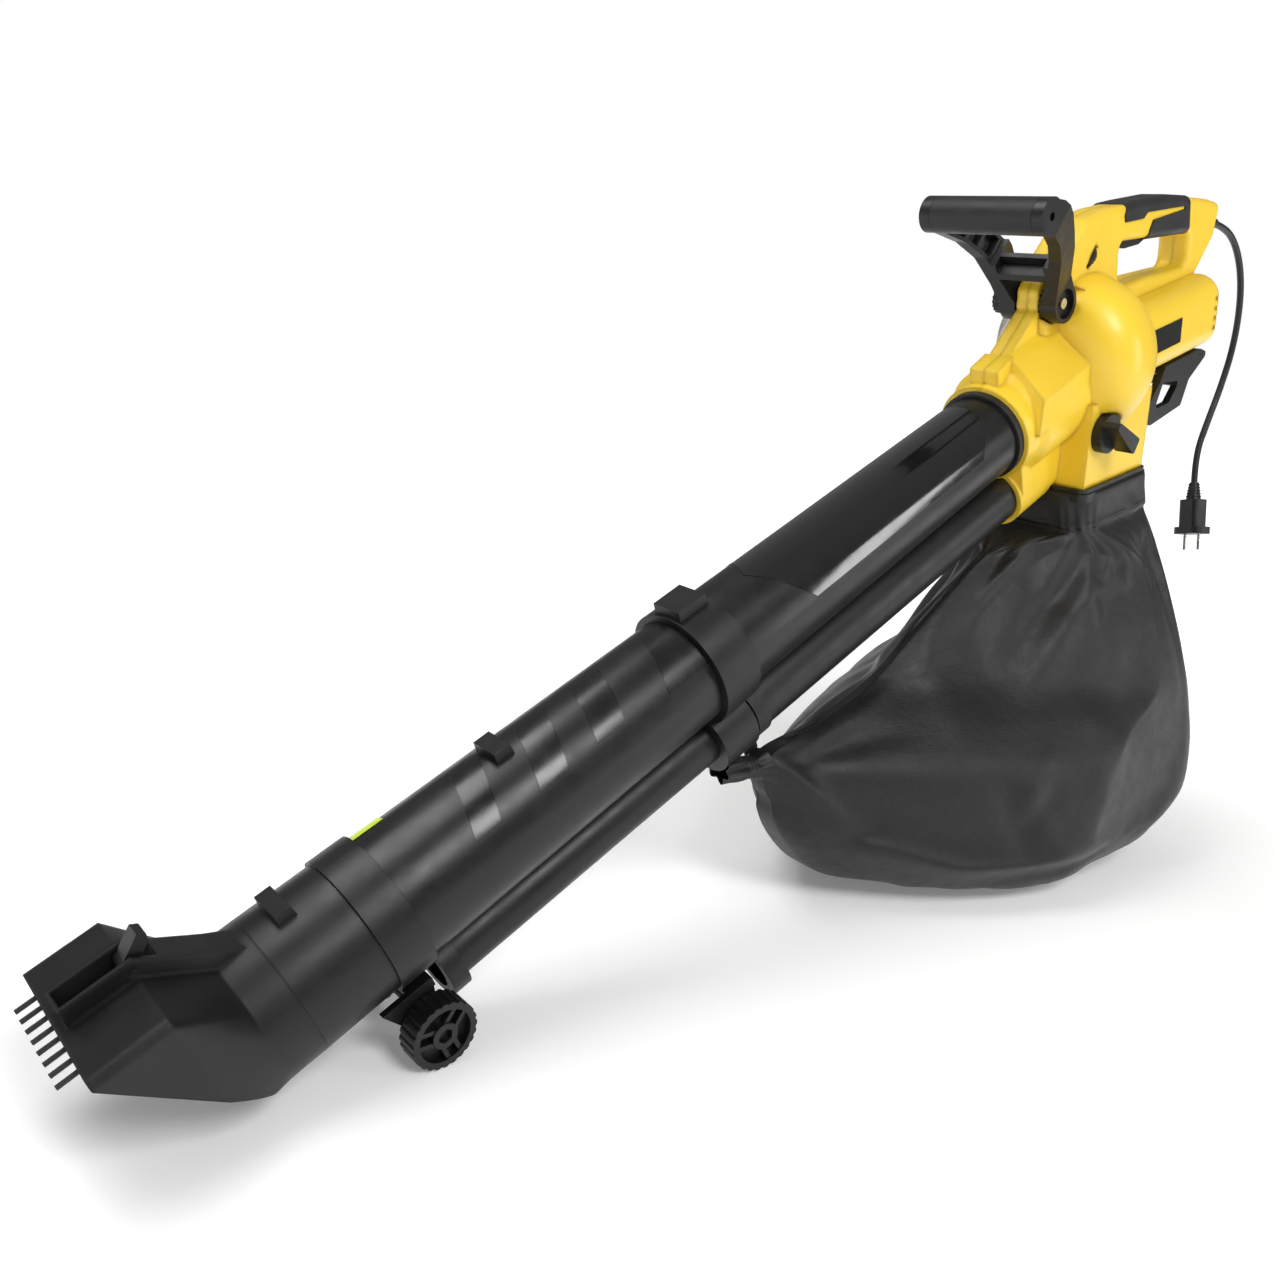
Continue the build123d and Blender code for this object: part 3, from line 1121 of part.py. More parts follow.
# Bag, drawn standing: level sections with a blunt rear and a drawn-out front
def bag_section(front, rear, half, nose, widest, corner, inset):
    """Closed section: a nose, elliptical flanks back to the widest place, straight sides and a blunt rear."""
    x0, x1, h, n = front + inset, rear - inset, half - inset, nose - inset / 2
    c = corner - inset
    bow = c * (1 - cos(pi / 4))
    edge = Line((x0, -n), (x0, n))
    edge += EllipticalCenterArc((widest, n), widest - x0, h - n, start_angle=90, arc_size=90)
    edge += Line((widest, h), (x1 - c, h))
    edge += ThreePointArc((x1 - c, h), (x1 - bow, h - bow), (x1, h - c))
    edge += Line((x1, h - c), (x1, c - h))
    edge += ThreePointArc((x1, c - h), (x1 - bow, bow - h), (x1 - c, -h))
    edge += Line((x1 - c, -h), (widest, -h))
    edge += EllipticalCenterArc((widest, -n), widest - x0, h - n, start_angle=180, arc_size=90)
    return make_face(edge)


mouth_z = frame_z - FRAME_THICK - GAP
mouth_half = OUTLET_HALF_X + FLANGE_EDGE
mouth_side = OUTLET_HALF_Y + FLANGE_EDGE


def bag_volume(inset, raise_top):
    """Outer or inner volume of the bag."""
    mouth = bag_section(
        -mouth_half,
        mouth_half,
        mouth_side,
        mouth_side - 2 * BAG_MOUTH_CORNER,
        2 * BAG_MOUTH_CORNER - mouth_half,
        BAG_MOUTH_CORNER,
        inset,
    )
    sections = [STANCE * OUTLET * Pos(0, 0, mouth_z + raise_top) * mouth]
    for z, *sizes in BAG_LEVELS:
        sections.append(Pos(0, BAG_Y, max(z, inset)) * bag_section(*sizes, inset))
    return loft(sections)


placed["bag"] = bag_volume(0, 0) - bag_volume(BAG_WALL, SEAM)

# Mains lead, hanging from the strain relief, and its plug
start = (STANCE * RELIEF * Pos(RELIEF_LENGTH, 0, 0)).position
route = [Vector(*point) + start for point in CORD_ROUTE]
radii = []
for before, here, after in zip(route, route[1:], route[2:]):
    bend = radians((here - before).get_angle(after - here))
    radii.append(0.45 * min((here - before).length, (after - here).length) / tan(bend / 2))
path = FilletPolyline(*route, radius=radii)
cord = sweep(Plane(origin=path @ 0, z_dir=path % 0) * Circle(CORD_R), path=path)
placed["mains_cord"] = cord
print("cord radii", [round(r) for r in radii], "length", round(path.length, 1))
print("cord volume over section times length", round(cord.volume / (pi * CORD_R**2 * path.length), 4))
plug_axis = path % 1
plug_x = Vector(cos(radians(PLUG_TURN)), sin(radians(PLUG_TURN)), 0)
plug_x = (plug_x - plug_axis * plug_x.dot(plug_axis)).normalized()
plug_plane = Plane(origin=path @ 1, x_dir=plug_x, z_dir=plug_axis)
boot = Pos(0, 0, PLUG_BOOT / 2) * Cone(RELIEF_TIP_R, RELIEF_R, PLUG_BOOT)
grasp = Pos(0, 0, PLUG_BOOT) * RectangleRounded(PLUG_WIDTH, PLUG_DEPTH, PLUG_DEPTH / 4)
grasp = extrude(grasp, amount=PLUG_LENGTH)
flange_at = PLUG_BOOT + PLUG_LENGTH
flange = Pos(0, 0, flange_at) * RectangleRounded(PLUG_FLANGE_W, PLUG_FLANGE_D, PLUG_FLANGE_D / 3)
flange = extrude(flange, amount=PLUG_FLANGE_T)
face_at = flange_at + PLUG_FLANGE_T
plug = boot + grasp + flange
pins = []
for side in (-1, 1):
    across_pin = side * PIN_SPACING / 2
    root_length, contact_length = PIN_ROOT + PIN_COLLAR, PIN_LENGTH - PIN_COLLAR
    plug -= Pos(across_pin, 0, face_at - PIN_ROOT / 2) * Cylinder(PIN_ROOT_R + RUN, PIN_ROOT)
    pin = Pos(across_pin, 0, face_at + PIN_LENGTH - contact_length / 2) * Cylinder(PIN_R, contact_length)
    pin = chamfer(pin.edges().sort_by(Axis.Z)[-1], PIN_R / 3)
    pin += Pos(across_pin, 0, face_at + PIN_COLLAR - root_length / 2) * Cylinder(PIN_ROOT_R, root_length)
    pins.append(plug_plane * pin)
placed["plug"] = plug_plane * plug
placed["plug_pins"] = Compound(pins)

# Origin under the middle of the machine without its lead
lead = ("strain_relief", "mains_cord", "plug", "plug_pins")
boxes = [solid.bounding_box() for name, solid in placed.items() if name not in lead]
middle_x = (min(box.min.X for box in boxes) + max(box.max.X for box in boxes)) / 2
middle_y = (min(box.min.Y for box in boxes) + max(box.max.Y for box in boxes)) / 2
lowest = min(box.min.Z for box in boxes)
SHIFT = Pos(-middle_x, -middle_y, -lowest)
print("shift", round(middle_x, 3), round(middle_y, 3), round(lowest, 4), "lift", round(lift, 4))
os.makedirs("parts", exist_ok=True)
for name, solid in placed.items():
    export_step(SHIFT * solid, f"parts/{name}.step")
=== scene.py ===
import math

import bpy
import numpy as np
from mathutils import Matrix, Vector


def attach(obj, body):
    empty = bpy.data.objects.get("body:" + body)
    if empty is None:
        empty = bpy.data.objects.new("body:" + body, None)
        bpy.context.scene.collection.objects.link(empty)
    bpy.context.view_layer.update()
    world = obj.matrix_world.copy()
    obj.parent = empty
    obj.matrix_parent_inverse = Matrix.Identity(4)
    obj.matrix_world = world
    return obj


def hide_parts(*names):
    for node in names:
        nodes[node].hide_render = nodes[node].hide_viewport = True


# Electric garden blower and vacuum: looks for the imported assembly, in metres.
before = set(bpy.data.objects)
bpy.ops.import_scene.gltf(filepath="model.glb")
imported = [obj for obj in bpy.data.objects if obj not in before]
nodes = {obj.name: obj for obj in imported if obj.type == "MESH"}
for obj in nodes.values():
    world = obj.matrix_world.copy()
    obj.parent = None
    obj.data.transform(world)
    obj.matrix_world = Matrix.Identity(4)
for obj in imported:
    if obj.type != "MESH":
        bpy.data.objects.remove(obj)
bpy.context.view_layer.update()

# The machine's own axes run along its suction tube; it stands tipped back by TILT.
TILT = math.radians(28.0)
SHIFT_X, SHIFT_Y, LIFT = 0.426685, -0.008003, 0.0631706
MACHINE = Matrix.Translation((-SHIFT_X, -SHIFT_Y, LIFT)) @ Matrix.Rotation(-TILT, 4, "Y")
TUBE_R_FRONT, TUBE_R_REAR, TUBE_LENGTH = 46.3, 38.2, 740.0


def at(x, y, z):
    """Row point in metres of a machine point in millimetres."""
    return MACHINE @ Vector((x / 1000, y / 1000, z / 1000))


# Materials
class Mat:
    """A material with its node tree, and short ways to add nodes to it."""

    def __init__(self, name):
        self.mat = bpy.data.materials.new(name)
        self.mat.use_nodes = True
        self.tree = self.mat.node_tree
        self.bsdf = self.tree.nodes["Principled BSDF"]
        self.coords = self.tree.nodes.new("ShaderNodeTexCoord").outputs["Object"]

    def add(self, kind, links=(), **values):
        made = self.tree.nodes.new("ShaderNode" + kind)
        for key, value in values.items():
            if key in made.inputs:
                made.inputs[key].default_value = value
            else:
                setattr(made, key, value)
        for key, source in dict(links).items():
            self.tree.links.new(source, made.inputs[key])
        return made

    def noise(self, scale, detail=3.0, roughness=0.55, vector=None):
        made = self.add("TexNoise", {"Vector": vector or self.coords})
        made.inputs["Scale"].default_value = scale
        made.inputs["Detail"].default_value = detail
        made.inputs["Roughness"].default_value = roughness
        return made.outputs["Fac"]

    def ramp(self, source, low, high, start=0.3, stop=0.7):
        made = self.add("MapRange", {"Value": source})
        for key, value in (("From Min", start), ("From Max", stop), ("To Min", low), ("To Max", high)):
            made.inputs[key].default_value = value
        return made.outputs["Result"]

    def mix(self, factor, first, second):
        made = self.add("Mix", data_type="RGBA")
        self.tree.links.new(factor, made.inputs["Factor"])
        a, b = made.inputs[6], made.inputs[7]
        for socket, value in ((a, first), (b, second)):
            if isinstance(value, tuple):
                socket.default_value = (*value, 1.0)
            else:
                self.tree.links.new(value, socket)
        return made.outputs[2]

    def bump(self, height, distance, strength=1.0, under=None):
        made = self.add("Bump", {"Height": height})
        made.inputs["Distance"].default_value = distance
        made.inputs["Strength"].default_value = strength
        if under is not None:
            self.tree.links.new(under, made.inputs["Normal"])
        return made.outputs["Normal"]

    def put(self, key, value):
        if isinstance(value, bpy.types.NodeSocket):
            self.tree.links.new(value, self.bsdf.inputs[key])
        elif isinstance(value, tuple):
            self.bsdf.inputs[key].default_value = (*value, 1.0)
        else:
            self.bsdf.inputs[key].default_value = value


def shade(colour, factor):
    return tuple(min(1.0, c * factor) for c in colour)


def moulded(name, colour, rough, grain=1500.0, depth=0.00004, spread=0.1, coat=0.0, edge=0.0006, shine=0.5):
    """Moulded plastic: uneven colour and gloss over a fine spark-eroded grain, with softened edges."""
    blotch = 9.0
    m = Mat(name)
    rounded = m.add("Bevel", samples=3, Radius=edge).outputs["Normal"]
    cloud = m.noise(blotch, 4.0)
    m.put("Base Color", m.mix(m.ramp(cloud, 0.0, 1.0), shade(colour, 1 - spread), shade(colour, 1 + spread)))
    m.put("Roughness", m.ramp(m.noise(blotch * 6, 3.0), rough - 0.05, rough + 0.06))
    fine = m.bump(m.noise(grain, 2.0, 0.6), depth, 1.0, rounded)
    m.put("Normal", m.bump(m.noise(35.0, 2.0), 0.0002, 0.5, fine))
    m.put("Coat Weight", coat)
    m.put("Coat Roughness", 0.12)
    m.put("Specular IOR Level", shine)
    return m.mat


def metal(name, colour, rough, grain=220.0):
    """Drawn or turned metal, with streaks along x."""
    m = Mat(name)
    stretch = m.add("Mapping", {"Vector": m.coords})
    stretch.inputs["Scale"].default_value = (1.0, 12.0, 12.0)
    streak = m.noise(grain, 3.0, 0.6, stretch.outputs["Vector"])
    m.put("Base Color", m.mix(m.ramp(streak, 0.0, 1.0), shade(colour, 0.85), shade(colour, 1.08)))
    m.put("Roughness", m.ramp(streak, rough - 0.06, rough + 0.1))
    m.put("Metallic", 1.0)
    m.put("Normal", m.bump(streak, 0.00003))
    return m.mat


def rubber(name, colour, rough):
    """Matt rubber or thread with a little dust in it."""
    m = Mat(name)
    dust = m.noise(60.0, 5.0)
    m.put("Base Color", m.mix(m.ramp(dust, 0.0, 1.0), shade(colour, 0.8), shade(colour, 1.25)))
    m.put("Roughness", m.ramp(dust, rough - 0.08, rough + 0.08))
    m.put("Normal", m.bump(m.noise(2200.0, 2.0), 0.00008))
    m.put("Specular IOR Level", 0.35)
    return m.mat


def nylon(name, colour):
    """Woven bag cloth: a fine over-and-under weave whose crests carry a painted highlight, creases and a soft
    sheen.
    """
    m = Mat(name)
    flat = m.add("Mapping", {"Vector": m.coords})
    flat.inputs["Rotation"].default_value = (0.0, 0.0, 0.6)
    warp = m.add("TexWave", {"Vector": flat.outputs["Vector"]}, bands_direction="X", wave_profile="SIN")
    weft = m.add("TexWave", {"Vector": flat.outputs["Vector"]}, bands_direction="Z", wave_profile="SIN")
    for wave in (warp, weft):
        wave.inputs["Scale"].default_value = 330.0
        wave.inputs["Distortion"].default_value = 0.6
        wave.inputs["Detail"].default_value = 1.0
    cross = m.add("Math", {0: warp.outputs["Fac"], 1: weft.outputs["Fac"]}, operation="MULTIPLY")
    weave_and_highlight = cross.outputs["Value"]
    crinkle = m.noise(70.0, 6.0, 0.62)
    cloud = m.noise(9.0, 3.0)
    tone = m.mix(m.ramp(cloud, 0.0, 1.0), shade(colour, 0.85), shade(colour, 1.15))
    # The crests of the weave are painted lighter: a painted highlight on the threads; the same mask also
    # gives the weave's real bump.
    m.put("Base Color", m.mix(m.ramp(weave_and_highlight, 0.0, 1.0, 0.0, 1.0), tone, shade(colour, 1.5)))
    m.put("Roughness", m.ramp(crinkle, 0.4, 0.52))
    soft = m.bump(crinkle, 0.0012, 0.55)
    m.put("Normal", m.bump(weave_and_highlight, 0.00012, 0.6, soft))
    m.put("Sheen Weight", 0.04)
    m.put("Sheen Roughness", 0.45)
    m.put("Specular IOR Level", 0.42)
    return m.mat


def clear(name):
    """Clear plastic, slightly clouded."""
    m = Mat(name)
    m.put("Base Color", (0.96, 0.95, 0.95))
    m.put("Roughness", m.ramp(m.noise(40.0, 3.0), 0.12, 0.22))
    m.put("Transmission Weight", 0.82)
    m.put("IOR", 1.45)
    m.put("Normal", m.bump(m.noise(25.0, 2.0), 0.0003))
    return m.mat


YELLOW = moulded("yellow_plastic", (0.79, 0.53, 0.026), 0.38, spread=0.03, coat=0.08, edge=0.005)
BLACK = moulded("black_plastic", (0.0055, 0.0055, 0.0056), 0.4, shine=0.4)
HOOD = moulded("hood_black", (0.0055, 0.0055, 0.0056), 0.42, edge=0.003, shine=0.4)
SATIN = moulded("satin_black", (0.0055, 0.0055, 0.0057), 0.34, grain=1100.0, shine=0.4)
GLOSS = moulded("gloss_black", (0.003, 0.0029, 0.0028), 0.13, grain=400.0, depth=0.00001, coat=0.5)
STRIPE = moulded("stripe_film", (0.0032, 0.0031, 0.003), 0.24, grain=400.0, depth=0.00001)
DARK = moulded("dark_plastic", (0.014, 0.014, 0.0145), 0.45)
GREY_RUBBER = rubber("grey_rubber", (0.014, 0.014, 0.0148), 0.5)
CORD_RUBBER = rubber("cord_rubber", (0.009, 0.009, 0.0094), 0.42)
STEEL = metal("steel", (0.6, 0.6, 0.61), 0.26)
BLACKENED = metal("blackened_steel", (0.06, 0.06, 0.062), 0.4)
CHROME = metal("pin_metal", (0.8, 0.78, 0.75), 0.14)
ALUMINIUM = metal("aluminium", (0.62, 0.62, 0.63), 0.42)
COPPER = metal("copper", (0.7, 0.36, 0.2), 0.3)
LAMINATION = metal("laminations", (0.16, 0.16, 0.165), 0.5, 600.0)
BOARD = moulded("board", (0.02, 0.13, 0.05), 0.4)
CLEAR = clear("clear_plastic")
NYLON = nylon("bag_nylon", (0.0042, 0.0041, 0.004))
THREAD = rubber("thread", (0.012, 0.012, 0.0125), 0.6)
LIME = moulded("lime_strip", (0.62, 0.80, 0.02), 0.4, spread=0.03)

for names, material in (
    ("housing_left housing_right rear_grille", YELLOW),
    ("suction_tube_lower suction_tube_upper", SATIN),
    ("nozzle_neck lower_collar tube_coupling tube_latch blow_tube_lower blow_tube_upper", BLACK),
    ("nozzle_hood", HOOD),
    ("rake_lever wheel_fork trigger power_switch speed_dial front_handle clamp_knob", BLACK),
    ("ratchet_washers mode_lever outlet_flange bag_frame rear_bracket wheel_left wheel_right", BLACK),
    ("rake_comb impeller changeover_flap brush_holders", DARK),
    ("tube_seal soft_grip bar_sleeve", GREY_RUBBER),
    ("strain_relief mains_cord plug", CORD_RUBBER),
    ("front_bearing rear_bearing motor_shaft fan_nut pivot_bolt", STEEL),
    ("rake_pin wheel_axle axle_clips housing_screws", BLACKENED),
    ("plug_pins", CHROME),
    ("clear_window", CLEAR),
    ("rating_plate", GLOSS),
    ("motor_plate motor_bracket", ALUMINIUM),
    ("stator armature", LAMINATION),
    ("commutator", COPPER),
    ("speed_board", BOARD),
    ("bag bag_strap", NYLON),
):
    for name in names.split():
        nodes[name].data.materials.clear()
        nodes[name].data.materials.append(material)


# Mesh helpers
SHARP = math.radians(40)


def link(name, data):
    made = bpy.data.objects.new(name, data)
    bpy.context.scene.collection.objects.link(made)
    return made


def piece(name, points, faces, material):
    """New smooth mesh piece on the machine's body, from points in metres in the row frame."""
    mesh = bpy.data.meshes.new(name)
    mesh.from_pydata([tuple(p) for p in points], [], faces)
    mesh.update()
    mesh.materials.append(material)
    mesh.polygons.foreach_set("use_smooth", [True] * len(mesh.polygons))
    made = link(name, mesh)
    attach(made, "machine")
    return made


def thicken(made, thickness):
    """Give a skin its thickness, inwards."""
    wall = made.modifiers.new("wall", "SOLIDIFY")
    wall.thickness = thickness
    wall.offset = -1.0


def circle(middle, across, up, r, count):
    turns = np.arange(count) * 2 * math.pi / count
    return [middle + (across * math.cos(a) + up * math.sin(a)) * r for a in turns]


def grid_faces(rows, cols, wrap=False):
    """Quads between rows of points. A wrapped row is a closed ring."""
    faces = []
    for r in range(rows - 1):
        for c in range(cols if wrap else cols - 1):
            d = (c + 1) % cols
            faces.append((r * cols + c, r * cols + d, (r + 1) * cols + d, (r + 1) * cols + c))
    return faces


def tube_r(x):
    return TUBE_R_FRONT + (TUBE_R_REAR - TUBE_R_FRONT) * x / TUBE_LENGTH


FILM_ROWS, FILM_COLS = 40, 24


def film(name, rows, lift, thick, material):
    """Thin film on the suction tube. Rows are (angle from the top to the right, first x, last x)."""
    angles = [r[0] for r in rows]
    fine = np.linspace(angles[0], angles[-1], FILM_ROWS)
    starts = np.interp(fine, angles, [r[1] for r in rows])
    stops = np.interp(fine, angles, [r[2] for r in rows])
    points = []
    for angle, start, stop in zip(fine, starts, stops):
        a = math.radians(angle)
        for x in np.linspace(start, stop, FILM_COLS):
            r = tube_r(x) + lift
            points.append(at(x, -r * math.sin(a), r * math.cos(a)))
    made = piece(name, points, grid_faces(FILM_ROWS, FILM_COLS), material)
    thicken(made, thick / 1000)
    made.modifiers.new("edges", "EDGE_SPLIT").split_angle = SHARP


# Bare films on the tubes: the dark panel, the lower film with its stripes, and a lime strip
decal_rows = [(-72, 436, 711), (-28, 436, 711), (-4, 426, 711), (9, 421, 710), (24, 429, 709)]
decal_rows += [(43, 439, 702), (57, 447, 694), (66, 452, 688), (77, 459, 682)]
film("tube_decal", decal_rows, 0.2, 0.16, GLOSS)
film("tube_film", [(-8, 74, 352), (60, 76, 349)], 0.12, 0.1, SATIN)
stripes = [
    [(-8, 153, 176), (56, 135, 156)],
    [(-8, 207, 233), (57, 188, 213)],
    [(-8, 256, 283), (54, 240, 266)],
    [(-8, 323, 352), (60, 305, 347)],
]
for number, rows in enumerate(stripes):
    film(f"tube_stripe_{number}", rows, 0.3, 0.16, STRIPE)
film("lime_strip", [(-37, 75, 104), (-18, 75, 104)], 0.4, 0.35, LIME)

# Mains cord, from the tip of its strain relief to the plug: route points in millimetres from that tip
CORD_LENGTH, CORD_DIAMETER = 0.3565, 0.007
relief_tip = Vector((0.589352, 0.008003, 0.640718))
CORD_ROUTE = [
    (0, 0, 0),
    (32, 0, 0),
    (70, 0, -14),
    (102, 0, -42),
    (122, 0, -80),
    (129, 0, -123),
    (122, 0, -166),
    (107, -1, -206),
    (95, -2, -243),
    (92, -9.5, -274.5),
]
curve = bpy.data.curves.new("lead", "CURVE")
curve.dimensions = "3D"
spline = curve.splines.new("NURBS")
spline.points.add(len(CORD_ROUTE) - 1)
for point, offset in zip(spline.points, CORD_ROUTE):
    point.co = (*(relief_tip + Vector(offset) / 1000), 1.0)
spline.order_u = 3
spline.use_endpoint_u = True
spline.resolution_u = 12
curve.bevel_depth = CORD_DIAMETER / 2
curve.bevel_resolution = 5
curve.use_fill_caps = True
curve.materials.append(CORD_RUBBER)
lead = link("lead", curve)
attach(lead, "machine")
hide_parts("mains_cord")

# Grooved rings round the plug's tapered boot, in millimetres along and out from its axis
PLUG_BOOT, BOOT_R, BOOT_GROWS = 20.0, 5.0, 3.0
BOOT_RINGS, BOOT_MARGIN, BOOT_SIDES = 5, 1.5, 32
RING_PROFILE = ((0.0, -0.4), (0.12, 0.6), (0.5, 0.8), (0.62, -0.4))
boot_start = relief_tip + Vector(CORD_ROUTE[-1]) / 1000
boot_axis = (Vector(CORD_ROUTE[-1]) - Vector(CORD_ROUTE[-2])).normalized()
boot_side = boot_axis.orthogonal().normalized()
boot_across = boot_axis.cross(boot_side)
pitch = (PLUG_BOOT - 2 * BOOT_MARGIN) / BOOT_RINGS
points = []
for number in range(BOOT_RINGS):
    for step, rise in RING_PROFILE:
        along = BOOT_MARGIN + (number + step) * pitch
        r = BOOT_R + BOOT_GROWS * along / PLUG_BOOT + rise
        points += circle(boot_start + boot_axis * along / 1000, boot_side, boot_across, r / 1000, BOOT_SIDES)
ring_faces = grid_faces(BOOT_RINGS * len(RING_PROFILE), BOOT_SIDES, wrap=True)
boot_rings = piece("boot_rings", points, ring_faces, CORD_RUBBER)
boot_rings.modifiers.new("edges", "EDGE_SPLIT").split_angle = SHARP

# Camera at the photograph's place, whose picture is PHOTO pixels wide and high
PHOTO = 1280
right = Vector((0.7427, -0.6589, 0.1193)).normalized()
ahead = Vector((0.6630, 0.6986, -0.2691)).normalized()
above = right.cross(ahead).normalized()
right = ahead.cross(above)
camera_data = bpy.data.cameras.new("camera")
camera_data.lens = 31.905
camera_data.sensor_width = 36.0
camera_data.clip_start = 0.01
camera = link("camera", camera_data)
camera.matrix_world = Matrix.Translation((-0.6986, -0.5533, 0.4701)) @ Matrix(
    ((right.x, above.x, -ahead.x), (right.y, above.y, -ahead.y), (right.z, above.z, -ahead.z))
).to_4x4()
bpy.context.scene.camera = camera

# Bag: a sewn shell that hangs from the outlet frame, is tied to the blow tube and rests on the floor
# Level sections in millimetres: height, front and rear x, half width, half width of the nose,
# x where it is widest, radius of the rear corners, and how full the flanks are
BAG_LEVELS = [
    (340, 718, 876, 75, 6, 835, 35, 0.25),
    (300, 659, 887, 96, 6, 835, 45, 0.25),
    (250, 591, 906, 123, 6, 826, 60, 0.25),
    (200, 530, 924, 144, 6, 812, 75, 0.25),
    (170, 458, 931, 152, 6, 765, 82, 0.28),
    (140, 402, 937, 158, 8, 720, 88, 0.3),
    (100, 418, 936, 161, 10, 705, 95, 0.45),
    (60, 455, 918, 150, 12, 700, 90, 0.6),
    (30, 497, 890, 132, 16, 705, 75, 0.7),
    (0, 562, 850, 108, 20, 715, 50, 0.8),
]
OUTLET_X, OUTLET_Z, OUTLET_TILT = 856.0, -95.5, math.radians(15.5)
MOUTH_HALF_X, MOUTH_HALF_Y, MOUTH_CORNER = 60.5, 62.5, 14.0
NECK_DROP, NECK_GROW, NECK_RINGS = 43, 3.4, 5
BODY_TOP, BODY_FOOT, BODY_RINGS = 312, 12, 60
TIE = (0.402 - SHIFT_X, 0, 0.138)
CLOTH_WALL, CLOTH_FRAMES, CLOTH_REACH = 0.0007, 22, 0.012
GATHER_HEIGHT, WAVE_HEIGHT = 0.0018, 0.0013
# Folds that the photograph shows: points in its pixels, half width in pixels, height in millimetres
BAG_FOLDS = [
    ([(1122, 562), (1080, 606), (1038, 678)], 17, 7.0),
    ([(1105, 540), (1056, 604), (1018, 668)], 15, -6.0),
    ([(1041, 514), (1062, 535), (1098, 526)], 7, 4.0),
    ([(990, 545), (1030, 552), (1075, 548)], 9, -3.5),
    ([(972, 566), (935, 612), (930, 665), (960, 720)], 18, 6.0),
    ([(1000, 575), (985, 630), (1000, 700)], 20, -5.0),
    ([(762, 752), (800, 778), (850, 800)], 11, 4.5),
    ([(760, 768), (795, 805), (840, 850)], 12, -4.0),
    ([(770, 748), (840, 745), (905, 728)], 12, -3.5),
    ([(790, 742), (870, 705), (915, 655)], 12, 3.5),
    ([(1012, 785), (1028, 830), (1062, 790)], 10, -4.5),
    ([(1050, 760), (1040, 805), (1065, 842)], 10, 4.0),
    ([(868, 836), (960, 850), (1060, 842), (1100, 815)], 13, 4.5),
    ([(985, 866), (1085, 852), (1148, 806), (1172, 791)], 10, -4.0),
    ([(1092, 700), (1120, 740), (1110, 800)], 16, 4.0),
    ([(1150, 640), (1140, 700), (1155, 760)], 14, -3.5),
]


def bag_ring(front, rear, half, nose, widest, corner, full=None):
    """Closed level section as (x, y) points: nose, flank, side, rear corner and rear, then the other side."""
    points = [(front, nose * i / 5) for i in range(5)]
    for i in range(30):
        t = i / 30
        along = 1 - math.cos(math.pi / 2 * t) if full is None else t
        across = math.sin(math.pi / 2 * t) if full is None else t * (1 + full * (1 - t))
        points.append((front + (widest - front) * along, nose + (half - nose) * across))
    points += [(widest + (rear - corner - widest) * i / 14, half) for i in range(14)]
    for i in range(12):
        a = math.pi / 2 * i / 12
        points.append((rear - corner + corner * math.sin(a), half - corner + corner * math.cos(a)))
    points += [(rear, (half - corner) * (1 - i / 10)) for i in range(11)]
    return points + [(x, -y) for x, y in points[-2:0:-1]]


def smooth_levels(z):
    """Section sizes at a height, on a smooth curve through the levels."""
    table = np.array(BAG_LEVELS[::-1], float)
    zs, values = table[:, 0], table[:, 1:]
    k = min(max(int(np.searchsorted(zs, z)) - 1, 0), len(zs) - 2)
    step = zs[k + 1] - zs[k]
    t = (z - zs[k]) / step

    def slope(i):
        lo, hi = max(i - 1, 0), min(i + 1, len(zs) - 1)
        return (values[hi] - values[lo]) / (zs[hi] - zs[lo]) * step

    start = (2 * t**3 - 3 * t**2 + 1) * values[k] + (t**3 - 2 * t**2 + t) * slope(k)
    return start + (3 * t**2 - 2 * t**3) * values[k + 1] + (t**3 - t**2) * slope(k + 1)


def level_ring(z):
    return [Vector((x / 1000 - SHIFT_X, y / 1000, z / 1000)) for x, y in bag_ring(*smooth_levels(z))]


def mouth_ring(drop, grow):
    """Ring round the outlet frame, a drop below the outlet's edge."""
    half_x, half_y = MOUTH_HALF_X + grow, MOUTH_HALF_Y + grow
    c, s = math.cos(OUTLET_TILT), math.sin(OUTLET_TILT)
    flank = (half_y - 2 * MOUTH_CORNER, 2 * MOUTH_CORNER - half_x)
    ring = bag_ring(-half_x, half_x, half_y, *flank, MOUTH_CORNER)
    return [at(OUTLET_X + x * c - drop * s, y, OUTLET_Z - x * s - drop * c) for x, y in ring]


def in_photo(points):
    """Places of points in the photograph, in pixels."""
    eye = np.array(camera.matrix_world.translation)
    off = points - eye
    depth = off @ np.array(ahead)
    scale = PHOTO * camera_data.lens / camera_data.sensor_width / depth
    return PHOTO / 2 + np.stack([scale * (off @ np.array(right)), -scale * (off @ np.array(above))], 1)


def fold_heights(points):
    """Height of the folds at each point, on the side that the photograph shows, in metres."""
    seen = in_photo(points)
    height = np.zeros(len(points))
    for line, width, tall in BAG_FOLDS:
        line = np.array(line, float)
        nearest = np.full(len(points), 1e9)
        fade = np.zeros(len(points))
        for k, (p, q) in enumerate(zip(line, line[1:])):
            t = np.clip(((seen - p) @ (q - p)) / ((q - p) @ (q - p)), 0, 1)
            gap = np.linalg.norm(seen - (p + t[:, None] * (q - p)), axis=1)
            place = (k + t) / (len(line) - 1)
            closer = gap < nearest
            nearest = np.where(closer, gap, nearest)
            fade = np.where(closer, np.sin(np.pi * np.clip(0.12 + 0.76 * place, 0, 1)), fade)
        height += tall / 1000 * fade * np.exp(-((nearest / width) ** 2))
    return height


